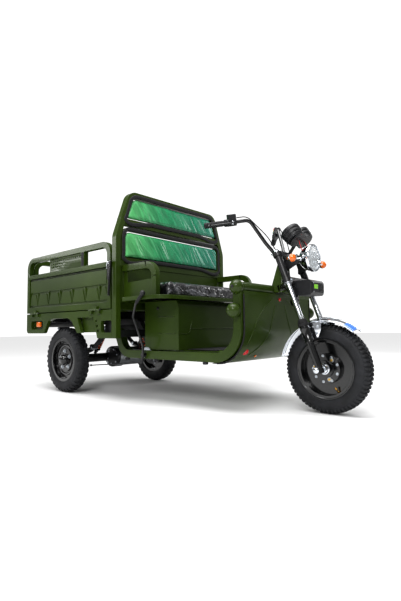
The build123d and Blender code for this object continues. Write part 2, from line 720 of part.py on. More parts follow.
with BuildPart() as headstock:
    with BuildSketch(Plane.XY.offset(top_bar_z - 16)):
        with Locations((pillar_x + 42, 0)):
            RectangleRounded(104, 122, 24)
    with BuildSketch(steer_view(head_high_w)):
        RectangleRounded(2 * head_tube_radius + 10, 2 * head_tube_radius + 10, head_tube_radius)
    loft()
    # Room for the lower fork bridge to swing in.
    with BuildSketch(steer_view(head_low_w)):
        with Locations((40, 0)):
            Rectangle(200, 300)
    extrude(amount=-yoke_thickness - 12, mode=Mode.SUBTRACT)
    rod(on_axis(head_low_w - 150), on_axis(head_high_w + 40), stem_radius + 0.1, mode=Mode.SUBTRACT)
    rod((pillar_x, -200, top_bar_z), (pillar_x, 200, top_bar_z), top_bar_radius, mode=Mode.SUBTRACT)
finish(headstock, "headstock")

# ---------------------------------------------------------------- rear axle
axle_tube_radius = 34
case_radius = 88
brake_radius = 88
brake_face = half_track - 42

with BuildPart() as rear_axle:
    centre = (rear_axle_x, 0, tyre_radius)
    ring(centre, 0, axle_tube_radius, -brake_face, brake_face)
    for side in (-1, 1):
        ring(centre, 0, brake_radius, *sorted((side * brake_face, side * (brake_face - 26))))
        ring(centre, 0, rear_axle_radius, *sorted((side * (brake_face - 5), side * (half_track + 42))))
finish(rear_axle, "rear_axle")

with BuildPart() as drive_motor:
    ring(centre, 0, case_radius, -60, 60)
    fillet(drive_motor.edges().filter_by(GeomType.CIRCLE), 22)
    block(rear_axle_x + 20, rear_axle_x + 150, -60, 60, tyre_radius - 45, tyre_radius + 55)
    rod((rear_axle_x + 150, -150, tyre_radius + 10), (rear_axle_x + 150, 150, tyre_radius + 10), 72)
    ring(centre, 0, axle_tube_radius, -80, 80, mode=Mode.SUBTRACT)
finish(drive_motor, "drive_motor")

spring_y = 330
spring_half = 330
spring_eye_z = sill_bottom_z - 80

with BuildPart() as leaf_springs:
    for side in (-1, 1):
        for leaf_index, reach in enumerate((1.0, 0.78, 0.56, 0.34)):
            drop = tyre_radius + axle_tube_radius + 10 + 8 * (3 - leaf_index)
            rise = (spring_eye_z - drop) * reach * reach
            with BuildSketch(side_view(side * spring_y + 25)):
                with BuildLine():
                    ThreePointArc(
                        (rear_axle_x - spring_half * reach, drop + rise), (rear_axle_x, drop),
                        (rear_axle_x + spring_half * reach, drop + rise),
                    )
                trace(line_width=8.1)
            extrude(amount=50)
        block(rear_axle_x - 45, rear_axle_x + 45, side * spring_y - 30, side * spring_y + 30,
              tyre_radius + axle_tube_radius - 3, tyre_radius + axle_tube_radius + 36)
        for end in (-1, 1):
            x = rear_axle_x + end * spring_half
            rod((x, side * spring_y - 28, spring_eye_z), (x, side * spring_y + 28, spring_eye_z), 16)
            inward = sorted((side * (main_rail_y - 20), side * (spring_y + 25)))
            block(x - 14, x + 14, inward[0], inward[1], spring_eye_z, sill_bottom_z - main_rail_depth)
        ring(centre, 0, axle_tube_radius + 0.3, *sorted((side * (spring_y - 60), side * (spring_y + 60))),
             mode=Mode.SUBTRACT)
finish(leaf_springs, "leaf_springs")

with BuildPart() as rear_shocks:
    for side in (-1, 1):
        foot = (rear_axle_x + 30, side * 235, tyre_radius + 38)
        head = (rear_axle_x + 200, side * 235, sill_bottom_z - main_rail_depth + 6)
        along = Vector(*head) - Vector(*foot)
        rod(foot, head, 9)
        rod(tuple(Vector(*foot) + along * 0.2), tuple(Vector(*foot) + along * 0.85), 24)
finish(rear_shocks, "rear_shocks")

# ---------------------------------------------------------------- lamps, controller, handbrake
with BuildPart() as marker_lamps:
    for side in (-1, 1):
        across = sorted((side * (half_bed - skirt_thickness), side * (half_bed - 6)))
        block(marker_x - 34, marker_x + 34, *across, sill_bottom_z - 66, sill_bottom_z - 18)
finish(marker_lamps, "marker_lamps")

with BuildPart() as tail_lamps:
    for side in (-1, 1):
        block(rear_x + 2, rear_x + 36, *sorted((side * (main_rail_y + 50), side * (half_bed - 69.5))),
              sill_bottom_z - 62, sill_bottom_z)
finish(tail_lamps, "tail_lamps")

with BuildPart() as controller_box:
    block(post_rear_x - 40, bed_front_x + 50, -200, 200, floor_z + 5, post_foot_z + 7)
finish(controller_box, "controller_box")

lever_radius = 8

knob = (bed_front_x + 286, -half_bed - 17, deck_z + 13)
crank = (bed_front_x + 94, -half_cab - 18, rail_bottom_z + 25)
lever_points = [
    crank, (crank[0] + 33, -half_cab - 50, rail_bottom_z + 90),
    (crank[0] + 15, -half_bed + 54, sill_bottom_z - 5), (bed_front_x + 205, -half_bed - 3, deck_z - 50), knob,
]
rod_front = (crank[0] - 20, crank[1], rail_bottom_z - 25)
rod_rear = (rear_axle_x + 70, -300, tyre_radius - 54)

with BuildPart() as handbrake:
    for start, end in zip(lever_points, lever_points[1:]):
        rod(start, end, lever_radius)
    with Locations(*lever_points[1:-1]):
        Sphere(lever_radius)
    with Locations(knob):
        Sphere(15)
    rod((crank[0], -half_cab, crank[2]), (crank[0], -half_cab - 28, crank[2]), 15)
    rod(crank, rod_front, lever_radius)
    rod(rod_front, rod_rear, 4)
    with Locations(rod_front, rod_rear):
        Sphere(9)
finish(handbrake, "handbrake")

# ---------------------------------------------------------------- steering
leg_y = (-half_leg, half_leg)
bar_height = 33  # handlebar above the upper fork bridge
clamp_radius = 19
bar_base = on_axis(upper_yoke_w + yoke_thickness / 2 + bar_height, -4)


def yoke_plate(w, reach):
    """A fork bridge: a plate round the stem and both legs."""
    with BuildSketch(steer_view(w - yoke_thickness / 2)) as bridge:
        with BuildLine():
            Polyline((-reach, -38), (-reach, 38), (fork_offset - 12, half_leg + 20), (fork_offset + 26, half_leg),
                     (fork_offset + 26, -half_leg), (fork_offset - 12, -half_leg - 20), close=True)
        make_face()
        with Locations((fork_offset, -half_leg), (fork_offset, half_leg)):
            Circle(stanchion_radius + 12)
        with Locations((0, 0)):
            Circle(34)
    extrude(bridge.sketch, amount=yoke_thickness)


with BuildPart() as steering_yoke:
    yoke_plate(lower_yoke_w, 24)
    yoke_plate(upper_yoke_w, 20)
    rod(on_axis(lower_yoke_w), on_axis(upper_yoke_w), stem_radius)
    for y in leg_y:
        with BuildSketch(steer_view(lower_yoke_w - 40)):
            with Locations((fork_offset, y)):
                Circle(stanchion_radius)
        extrude(amount=upper_yoke_w - lower_yoke_w + 100, mode=Mode.SUBTRACT)
    for y in (-50, 50):
        with BuildSketch(steer_view(upper_yoke_w + yoke_thickness / 2)):
            with Locations((-4, y)):
                Circle(14)
        extrude(amount=bar_height)
    rod((bar_base[0], -80, bar_base[2]), (bar_base[0], 80, bar_base[2]), clamp_radius, mode=Mode.SUBTRACT)
finish(steering_yoke, "steering_yoke")

slider_top_w = mudguard_radius - 19
collar_end_w = slider_top_w - 128
axle_w = axle_local.Z
leg_top_w = upper_yoke_w + yoke_thickness / 2 + 6

with BuildPart() as fork_stanchions:
    for y in leg_y:
        with BuildSketch(steer_view(slider_top_w)):
            with Locations((fork_offset, y)):
                Circle(stanchion_radius)
        extrude(amount=leg_top_w - slider_top_w)
finish(fork_stanchions, "fork_stanchions")

with BuildPart() as fork_sliders:
    for y in leg_y:
        with BuildSketch(steer_view(axle_w - 22)):
            with Locations((fork_offset, y)):
                Circle(slider_radius)
        extrude(amount=slider_top_w - axle_w + 22)
        with BuildSketch(steer_view(collar_end_w)):
            with Locations((fork_offset, y)):
                Circle(slider_radius + 6)
        extrude(amount=slider_top_w - collar_end_w)
        rod((front_axle_x, y - 14, tyre_radius), (front_axle_x, y + 14, tyre_radius), 24)
        rod((front_axle_x, y - 30, tyre_radius), (front_axle_x, y + 30, tyre_radius), front_axle_radius,
            mode=Mode.SUBTRACT)
finish(fork_sliders, "fork_sliders")

with BuildPart() as front_axle:
    axle_end = half_leg + slider_radius + 14
    rod((front_axle_x, -axle_end, tyre_radius), (front_axle_x, axle_end, tyre_radius), front_axle_radius)
    for side in (-1, 1):
        y = sorted((side * (half_leg + slider_radius), side * (half_leg + slider_radius + 10)))
        with BuildSketch(Plane(origin=(front_axle_x, y[0], tyre_radius), x_dir=(1, 0, 0), z_dir=(0, 1, 0))):
            RegularPolygon(13, 6)
        extrude(amount=10)
        spacer = sorted((side * (front_hub_half + 13), side * (half_leg - slider_radius)))
        ring((front_axle_x, 0, tyre_radius), 0, 14, *spacer)
finish(front_axle, "front_axle")

bar_points = [
    (bar_base[0], 0, bar_base[2]), (bar_base[0], -58, bar_base[2]),
    (bar_base[0] - 32, -102, bar_base[2] + 60), (bar_base[0] - 105, -165, bar_base[2] + 204),
    (bar_base[0] - 275, -380, bar_base[2] + 159),
]
bar_end = Vector(*bar_points[-1])
bar_run = (bar_end - Vector(*bar_points[-2])).normalized()


def along_grip(distance):
    """A point on the handlebar's straight end, so far in from its tip."""
    return tuple(bar_end - bar_run * distance)


with BuildPart() as handlebar:
    tube(bar_points, (24, 60, 42), bar_radius)
    mirror(about=Plane.XZ)
    for side in (-1, 1):
        rod((bar_base[0], side * 38, bar_base[2]), (bar_base[0], side * 62, bar_base[2]), clamp_radius)
finish(handlebar, "handlebar")

with BuildPart() as hand_controls_right:
    rod(along_grip(138), along_grip(-6), grip_radius)
    rod(along_grip(140), along_grip(128), grip_radius + 6)
    rod(along_grip(192), along_grip(138), 23)
    with BuildSketch(Plane(origin=along_grip(190), x_dir=(0.3, 0, 1), z_dir=tuple(bar_run))):
        with Locations((26, 0)):
            RectangleRounded(46, 44, 6)
    extrude(amount=48)
    rod(along_grip(220), along_grip(0), bar_radius + 0.3, mode=Mode.SUBTRACT)
finish(hand_controls_right, "hand_controls_right")
hand_controls_left = mirrored(hand_controls_right)
finish(hand_controls_left, "hand_controls_left")

# A brake cable each side, from the lever's perch over the bar's bend and down to the
# upper fork bridge.
cable_start = Vector(*along_grip(190)) + Vector(7, 0, 25)
cable_points = [
    tuple(cable_start), (bar_base[0] - 107, -185, bar_base[2] + 224),
    (bar_base[0] - 7, -112, bar_base[2] + 92), (bar_base[0] + 41, -74, bar_base[2] - 22),
]

with BuildPart() as control_cables:
    tube(cable_points, (56, 300), cable_radius)
    mirror(about=Plane.XZ)
    add(steering_yoke.part, mode=Mode.SUBTRACT)
    add(hand_controls_right.part, mode=Mode.SUBTRACT)
    add(hand_controls_left.part, mode=Mode.SUBTRACT)
finish(control_cables, "control_cables")

lamp_x = front_axle_x - 60
bridge_z = on_axis(upper_yoke_w)[2]
lamp_z = bridge_z - 9

with BuildPart() as headlamp:
    with BuildSketch(Plane(origin=(lamp_x, 0, lamp_z), x_dir=(1, 0, 0), z_dir=(0, -1, 0))):
        with BuildLine():
            Polyline((-92, 16), (-92, 0), (0, 0), (0, headlamp_radius - 4), (-6, headlamp_radius),
                     (-16, headlamp_radius), (-22, headlamp_radius - 6))
            ThreePointArc((-22, headlamp_radius - 6), (-68, 54), (-92, 16))
        make_face()
    revolve(axis=Axis((lamp_x, 0, lamp_z), (1, 0, 0)))
finish(headlamp, "headlamp")

with BuildPart() as turn_signals:
    for side in (-1, 1):
        y = side * 190
        with Locations((lamp_x - 44, y, lamp_z - 17)):
            Sphere(24)
        rod((lamp_x - 44, side * (headlamp_radius + 7), lamp_z - 14), (lamp_x - 44, y, lamp_z - 17), 6)
finish(turn_signals, "turn_signals")

pod_centre = Vector(front_axle_x - 173, 0, bridge_z + 138)
pod_normal = Vector(-0.62, 0, 0.78)
pod_radius = 62

with BuildPart() as instrument_pod:
    pod_plane = Plane(origin=pod_centre - pod_normal * 38, x_dir=(0, 1, 0), z_dir=pod_normal)
    with BuildSketch(pod_plane):
        with Locations((-56, 0), (56, 0)):
            Circle(pod_radius)
        Rectangle(60, 84)
    extrude(amount=76, taper=4)
finish(instrument_pod, "instrument_pod")

# The tubes round the legs between the fork bridges carry the lamp's ears and a stay for
# the instruments.
with BuildPart() as fork_covers:
    cover_low = lower_yoke_w + yoke_thickness / 2
    leg_mid = on_axis(lower_yoke_w + 89, fork_offset)
    for side in (-1, 1):
        with BuildSketch(steer_view(cover_low)):
            with Locations((fork_offset, side * half_leg)):
                Circle(stanchion_radius + 5)
        extrude(amount=upper_yoke_w - yoke_thickness / 2 - cover_low)
        ear = sorted((side * (headlamp_radius + 1), side * (headlamp_radius + 7)))
        slab(side_view(ear[1]), [
            (leg_mid[0] - 4, leg_mid[2] - 30), (lamp_x - 24, lamp_z - 16), (lamp_x - 24, lamp_z + 16),
            (leg_mid[0] - 4, leg_mid[2] + 40)], ear[1] - ear[0])
        reach = sorted((side * (headlamp_radius + 1), side * half_leg))
        block(leg_mid[0] - 10, leg_mid[0] + 8, reach[0], reach[1], leg_mid[2] - 24, leg_mid[2] + 34)
        rod((lamp_x - 34, side * (headlamp_radius - 12), lamp_z),
            (lamp_x - 34, side * (headlamp_radius + 12), lamp_z), 7)
        with BuildSketch(steer_view(cover_low - 1)):
            with Locations((fork_offset, side * half_leg)):
                Circle(stanchion_radius)
        extrude(amount=upper_yoke_w - cover_low, mode=Mode.SUBTRACT)
    add(headlamp.part, mode=Mode.SUBTRACT)
finish(fork_covers, "fork_covers")

with BuildPart() as pod_bracket:
    rod(on_axis(upper_yoke_w + 4, 45), tuple(pod_centre - pod_normal * 20), 10)
    add(instrument_pod.part, mode=Mode.SUBTRACT)
    add(steering_yoke.part, mode=Mode.SUBTRACT)
finish(pod_bracket, "pod_bracket")

box_front = front_axle_x - 43
box_low_z = top_bar_z - 45
with BuildPart() as speaker_box:
    block(box_front - 118, box_front, -80, 80, box_low_z, box_low_z + 88)
    chamfer(speaker_box.edges().filter_by(Axis.Y), 16)
    chamfer(speaker_box.faces().sort_by(Axis.X)[-1].edges().filter_by(Axis.Z), 10)
    block(box_front - 170, box_front - 112, -34, 34, box_low_z + 49, box_low_z + 73)
    add(steering_yoke.part, mode=Mode.SUBTRACT)
finish(speaker_box, "speaker_box")

guard_half = 62
guard_start = 50
guard_sweep = 118

with BuildPart() as front_mudguard:
    hub = (front_axle_x, 0, tyre_radius)
    with BuildSketch(Plane(origin=hub, x_dir=(cos(radians(guard_start)), 0, sin(radians(guard_start))),
                           z_dir=(-sin(radians(guard_start)), 0, cos(radians(guard_start))))) as section:
        with BuildLine():
            ThreePointArc((mudguard_radius - 18, -guard_half), (mudguard_radius, 0),
                          (mudguard_radius - 18, guard_half))
        trace(line_width=3)
    revolve(axis=Axis(hub, (0, -1, 0)), revolution_arc=guard_sweep)
    # A stay from each edge to the collar on the leg beside it.
    with BuildSketch(steer_view(axle_w + mudguard_radius - 24)):
        for y in (-guard_half - 15, guard_half + 15):
            with Locations((fork_offset, y)):
                Rectangle(34, 42)
    extrude(amount=5)
    add(fork_sliders.part, mode=Mode.SUBTRACT)
finish(front_mudguard, "front_mudguard")
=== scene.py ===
# %% [markdown]
# # An electric cargo tricycle, finished in Blender
# The solid model arrives as a fixed frame: every steel piece already has its real size and place.
# This lesson gives each piece its finish, rounds the pressed edges, and models what the frame
# leaves plain: tread, pads, lamps, springs, levers, cables and bolts.

# %% Load the frame
import json
from math import cos, radians, sin, tau

import bpy
from mathutils import Matrix, Vector


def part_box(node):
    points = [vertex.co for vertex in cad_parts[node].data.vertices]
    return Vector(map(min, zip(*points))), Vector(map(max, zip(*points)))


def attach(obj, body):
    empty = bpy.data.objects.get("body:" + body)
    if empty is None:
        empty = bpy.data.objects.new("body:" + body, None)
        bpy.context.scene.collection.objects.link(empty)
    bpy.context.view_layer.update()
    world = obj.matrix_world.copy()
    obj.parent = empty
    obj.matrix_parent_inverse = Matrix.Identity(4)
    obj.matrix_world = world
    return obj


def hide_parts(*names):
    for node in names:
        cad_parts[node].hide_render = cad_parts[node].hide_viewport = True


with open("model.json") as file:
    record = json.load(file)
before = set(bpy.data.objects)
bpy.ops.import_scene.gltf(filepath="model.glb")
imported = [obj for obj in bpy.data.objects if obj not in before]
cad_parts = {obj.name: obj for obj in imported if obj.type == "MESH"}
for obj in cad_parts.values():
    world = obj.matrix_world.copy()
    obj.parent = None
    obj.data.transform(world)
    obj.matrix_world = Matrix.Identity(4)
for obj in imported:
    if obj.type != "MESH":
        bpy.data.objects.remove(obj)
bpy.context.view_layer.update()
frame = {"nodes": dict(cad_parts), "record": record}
nodes = frame["nodes"]


# %% [markdown]
# Places come from the frame, so the pieces stay right if the vehicle is made longer or wider.
# A corner of a node's box, or its middle, is usually all that a new piece has to know.

# %% Read places from the frame
def low(node, axis):
    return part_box(node)[0]["xyz".index(axis)]


def high(node, axis):
    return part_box(node)[1]["xyz".index(axis)]


def middle(node):
    return (Vector(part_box(node)[0]) + Vector(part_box(node)[1])) / 2


axle_rear = middle("tyre_rear_right")
axle_front = middle("tyre_front")
half_bed = high("seat_deck", "y")
rear_x = low("bed_skirt_right", "x")
post_x = low("backrest_frame", "x")
pillar_x = middle("top_bar").x
mm = 0.001
print("wheelbase", round(axle_front.x - axle_rear.x, 3), "bed half width", round(half_bed, 4))

# %% [markdown]
# ## Camera, light and floor
# The camera stands low in front of the right-hand side, as a person kneeling would look at it.
# A wide studio shot uses big soft lights: a large one overhead gives the paint its long pale
# streaks, and a pale floor fills the shadows from below.

# %% Camera
camera_data = bpy.data.cameras.new("camera")
camera_data.sensor_width = 36
camera_data.lens = 25.38
camera = bpy.data.objects.new("camera", camera_data)
bpy.context.scene.collection.objects.link(camera)
heading, lift, lean = radians(41.59), radians(3.72), radians(-0.63)
turn = Matrix.Rotation(heading, 4, "Z") @ Matrix.Rotation(radians(90) + lift, 4, "X") @ Matrix.Rotation(lean, 4, "Z")
camera.matrix_world = Matrix.Translation((axle_rear.x + 3.015, -2.282, 0.485)) @ turn
bpy.context.scene.camera = camera


# %% Helpers for selection and modes
def select_only(*objects):
    """Deselects all, then selects these and makes the first active."""
    bpy.ops.object.select_all(action="DESELECT")
    for item in objects:
        item.select_set(True)
    bpy.context.view_layer.objects.active = objects[0]


def edit(piece, mode="FACE"):
    """Goes into edit mode with nothing selected."""
    select_only(piece)
    bpy.ops.object.mode_set(mode="EDIT")
    bpy.ops.mesh.select_mode(type=mode)
    bpy.ops.mesh.select_all(action="DESELECT")


def done():
    bpy.ops.object.mode_set(mode="OBJECT")


def new(name):
    """The object that an operator has just added, named and with no other selected."""
    piece = bpy.context.active_object
    piece.name = name
    return piece


def apply_all(piece):
    """Applies every modifier, then the place, so that the origin is at the frame's."""
    select_only(piece)
    for modifier in list(piece.modifiers):
        bpy.ops.object.modifier_apply(modifier=modifier.name)
    bpy.ops.object.transform_apply(location=True, rotation=True, scale=True)
    return piece


def modify(piece, kind, **settings):
    """Adds a modifier with its settings and applies it."""
    modifier = piece.modifiers.new(kind.lower(), kind)
    for key, value in settings.items():
        setattr(modifier, key, value)
    select_only(piece)
    bpy.ops.object.modifier_apply(modifier=modifier.name)
    return piece


def smooth(piece, angle=35):
    select_only(piece)
    bpy.ops.object.shade_smooth_by_angle(angle=radians(angle))
    return piece


def join(name, pieces):
    """Joins pieces into one mesh object."""
    select_only(*pieces)
    if len(pieces) > 1:
        bpy.ops.object.join()
    pieces[0].name = name
    return pieces[0]


def outward(piece):
    edit(piece)
    bpy.ops.mesh.select_all(action="SELECT")
    bpy.ops.mesh.normals_make_consistent(inside=False)
    done()
    return piece


# %% Floor and studio light
bpy.ops.object.select_all(action="DESELECT")
bpy.ops.mesh.primitive_plane_add(size=60)
floor = new("studio_floor")


def area_light(name, place, aim, size, power):
    light = bpy.data.lights.new(name, "AREA")
    light.shape = "RECTANGLE"
    light.size, light.size_y = size
    light.energy = power
    lamp = bpy.data.objects.new(name, light)
    lamp.location = place
    lamp.rotation_euler = (Vector(aim) - Vector(place)).to_track_quat("-Z", "Y").to_euler()
    bpy.context.scene.collection.objects.link(lamp)
    return lamp


area_light("overhead_softbox", (0.4, -1.0, 4.0), (0, 0, 0.6), (3.0, 2.4), 110)
area_light("key_softbox", (2.6, -4.4, 3.2), (0, 0, 0.6), (1.8, 1.5), 130)
area_light("rear_strip", (-4.2, -3.0, 2.2), (-0.6, 0, 0.7), (2.4, 1.0), 45)
area_light("far_side_softbox", (1.0, 4.8, 2.6), (0, 0, 0.6), (2.6, 1.4), 45)
sun = bpy.data.lights.new("wide_overhead_diffuser", "SUN")
sun.energy, sun.angle = 1.7, radians(60)
bpy.context.scene.collection.objects.link(bpy.data.objects.new("wide_overhead_diffuser", sun))

# %% World
world = bpy.data.worlds.new("studio")
world.use_nodes = True
tree = world.node_tree
dim = tree.nodes["Background"]
dim.inputs["Color"].default_value, dim.inputs["Strength"].default_value = (1, 1, 1, 1), 0.32
bright = tree.nodes.new("ShaderNodeBackground")
bright.inputs["Color"].default_value, bright.inputs["Strength"].default_value = (1, 1, 1, 1), 0.95
path, either = tree.nodes.new("ShaderNodeLightPath"), tree.nodes.new("ShaderNodeMixShader")
tree.links.new(path.outputs["Is Camera Ray"], either.inputs["Fac"])
tree.links.new(dim.outputs["Background"], either.inputs[1])
tree.links.new(bright.outputs["Background"], either.inputs[2])
tree.links.new(either.outputs["Shader"], tree.nodes["World Output"].inputs["Surface"])
bpy.context.scene.world = world
bpy.context.scene.view_settings.view_transform = "Standard"
bpy.context.scene.view_settings.look = "Medium High Contrast"
print("camera, floor, five lights and a pale world")
# %% [markdown]
# ## Finishes
# Each finish starts from what the real one is and how it was made: sprayed enamel, powder coat,
# chrome plate, moulded rubber. Colours are written as they look on screen, in hex, and one
# function turns them to the linear values that light is worked out in.


# %% Colour and node helpers
def linear(hex_colour):
    """An sRGB hex colour as linear red, green, blue and alpha."""
    parts = [int(hex_colour[i:i + 2], 16) / 255 for i in (1, 3, 5)]
    return tuple(c / 12.92 if c <= 0.04045 else ((c + 0.055) / 1.055) ** 2.4 for c in parts) + (1.0,)


def add_node(tree, kind, links=(), **settings):
    """Adds one node. A setting is the value of a socket of that name, or else a property of the node."""
    node = tree.nodes.new("ShaderNode" + kind)
    for key, value in settings.items():
        if not hasattr(value, "lower"):
            socket = node.inputs.get(key.replace("_", " ").title())
            if socket:
                socket.default_value = value
                continue
        setattr(node, key, value)
    for source, target in links:
        tree.links.new(source, node.inputs[target])
    return node


def material(name, hex_colour, roughness, **shader):
    """A new material with its shader set, and its node tree to add a pattern to."""
    item = bpy.data.materials.new(name)
    item.use_nodes = True
    item.diffuse_color = linear(hex_colour)
    surface = item.node_tree.nodes["Principled BSDF"]
    surface.inputs["Base Color"].default_value = linear(hex_colour)
    surface.inputs["Roughness"].default_value = roughness
    for key, value in shader.items():
        surface.inputs[key.replace("_", " ").title().replace("Ior", "IOR")].default_value = value
    return item, item.node_tree, surface


def per_metre(size_mm):
    """A noise or wave scale at which one feature measures this many millimetres."""
    return 1000 / size_mm


def skinned(tree, surface, size_mm, detail, strength, distance):
    """Raises a noise of that size on a finish, and returns its coordinate node and its noise node."""
    where = add_node(tree, "TexCoord")
    grain = add_node(tree, "TexNoise", [(where.outputs["Object"], "Vector")], scale=per_metre(size_mm), detail=detail)
    skin = add_node(tree, "Bump", [(grain.outputs["Fac"], "Height")], strength=strength, distance=distance)
    tree.links.new(skin.outputs["Normal"], surface.inputs["Normal"])
    return where, grain


# %% [markdown]
# ### Olive enamel
# The pressed steel is phosphated, primed and sprayed with a gloss olive enamel. Sprayed paint has
# a faint orange peel, a millimetre or two across and drawn here at 7 mm so that it shows, and lies
# a little thicker and darker in some places than in others. The clear top of the paint gives the sharp highlight, so it is a coat
# over a slightly rougher colour.

# %% Olive enamel
enamel, tree, surface = material("gloss_olive_enamel", "#2A3A0C", 0.36, coat_weight=0.2, coat_roughness=0.06,
                                 specular_ior_level=0.2)
where = add_node(tree, "TexCoord")
cloud = add_node(tree, "TexNoise", [(where.outputs["Object"], "Vector")], scale=per_metre(340), detail=3.0)
shade = add_node(tree, "ValToRGB", [(cloud.outputs["Fac"], "Fac")])
shade.color_ramp.elements[0].position, shade.color_ramp.elements[1].position = 0.3, 0.7
shade.color_ramp.elements[0].color, shade.color_ramp.elements[1].color = linear("#263609"), linear("#31420F")
tree.links.new(shade.outputs["Color"], surface.inputs["Base Color"])
peel = add_node(tree, "TexNoise", [(where.outputs["Object"], "Vector")], scale=per_metre(7), detail=2.0)
skin = add_node(tree, "Bump", [(peel.outputs["Fac"], "Height")], strength=0.035, distance=0.001)
tree.links.new(skin.outputs["Normal"], surface.inputs["Coat Normal"])
dust = add_node(tree, "TexNoise", [(where.outputs["Object"], "Vector")], scale=per_metre(60), detail=6.0)
matt = add_node(tree, "MapRange", [(dust.outputs["Fac"], "Value")], to_min=0.30, to_max=0.46)
tree.links.new(matt.outputs["Result"], surface.inputs["Roughness"])

# %% [markdown]
# ### Black finishes
# The frame is powder coated: a baked plastic skin with a fine, even grain. The wheels have a
# glossier stove enamel. Switchgear and lamp housings are moulded ABS with a spark-eroded grain,
# about half a millimetre, drawn here at 2 mm so that it shows.

# %% Black finishes
powder, tree, surface = material("black_powder_coat", "#0E0F11", 0.42, coat_weight=0.15, coat_roughness=0.3)
where = skinned(tree, surface, 2.5, 2.0, 0.12, 0.0006)[0]
grime = add_node(tree, "TexNoise", [(where.outputs["Object"], "Vector")], scale=per_metre(90), detail=5.0)
film = add_node(tree, "ValToRGB", [(grime.outputs["Fac"], "Fac")])
film.color_ramp.elements[0].position, film.color_ramp.elements[1].position = 0.42, 0.75
film.color_ramp.elements[0].color, film.color_ramp.elements[1].color = linear("#0B0C0D"), linear("#1A1A1E")
tree.links.new(film.outputs["Color"], surface.inputs["Base Color"])

stoved, tree, surface = material("gloss_black_stove_enamel", "#08090A", 0.2, coat_weight=0.5, coat_roughness=0.07)
skinned(tree, surface, 9, 2.0, 0.08, 0.001)

abs_black, tree, surface = material("moulded_black_abs", "#0F1013", 0.44)
where = add_node(tree, "TexCoord")
grain = add_node(tree, "TexVoronoi", [(where.outputs["Object"], "Vector")], scale=per_metre(2))
skin = add_node(tree, "Bump", [(grain.outputs["Distance"], "Height")], strength=0.12, distance=0.0005)
tree.links.new(skin.outputs["Normal"], surface.inputs["Normal"])
handled = add_node(tree, "TexNoise", [(where.outputs["Object"], "Vector")], scale=per_metre(45), detail=4.0)
sheen = add_node(tree, "MapRange", [(handled.outputs["Fac"], "Value")], to_min=0.36, to_max=0.56)
tree.links.new(sheen.outputs["Result"], surface.inputs["Roughness"])

soft_rubber, tree, surface = material("moulded_black_rubber", "#0D0D0F", 0.7)
skinned(tree, surface, 3, 4.0, 0.2, 0.0008)

# %% [markdown]
# ### Bright metals
# Chrome plate is smooth and mirror bright, with only the faint waves of the polished steel under
# it. Cast aluminium is duller, with a sandy skin. Fasteners are zinc plated: clear zinc is bluish,
# yellow zinc is a pale gold.

# %% Bright metals
chrome, tree, surface = material("bright_chrome_plate", "#DDE1E6", 0.07, metallic=1.0)
waves = skinned(tree, surface, 55, 2.0, 0.05, 0.002)[1]
smear = add_node(tree, "MapRange", [(waves.outputs["Fac"], "Value")], to_min=0.04, to_max=0.14)
tree.links.new(smear.outputs["Result"], surface.inputs["Roughness"])


def plated(name, hex_colour, roughness, grain_mm, depth):
    """A metal finish with a fine skin: cast, zinc plated or brushed."""
    item, tree, surface = material(name, hex_colour, roughness, metallic=1.0)
    where = add_node(tree, "TexCoord")
    grain = add_node(tree, "TexNoise", [(where.outputs["Object"], "Vector")], scale=per_metre(grain_mm), detail=4.0)
    skin = add_node(tree, "Bump", [(grain.outputs["Fac"], "Height")], strength=depth, distance=0.001)
    tree.links.new(skin.outputs["Normal"], surface.inputs["Normal"])
    spread = add_node(tree, "MapRange", [(grain.outputs["Fac"], "Value")],
                      to_min=roughness - 0.08, to_max=roughness + 0.1)
    tree.links.new(spread.outputs["Result"], surface.inputs["Roughness"])
    return item


cast = plated("cast_aluminium", "#A9ACAF", 0.38, 4, 0.25)
zinc = plated("clear_zinc_plate", "#B9BEC4", 0.28, 6, 0.08)
yellow_zinc = plated("yellow_zinc_plate", "#C9A65A", 0.3, 6, 0.1)
brass = plated("brass_terminal", "#C79A4A", 0.25, 6, 0.05)
spring_enamel, tree, surface = material("orange_spring_enamel", "#D2591C", 0.3, coat_weight=0.4)
skinned(tree, surface, 10, 2.0, 0.1, 0.001)

# %% [markdown]
# ### Tyre rubber
# The sidewall is smooth and slightly bloomed, a warm grey-black, with fine moulded rings round it.
# The rings are bands of equal distance from the axle, so each wheel's own centre is worked out
# with a Mapping node and the length of that vector drives a sine wave.


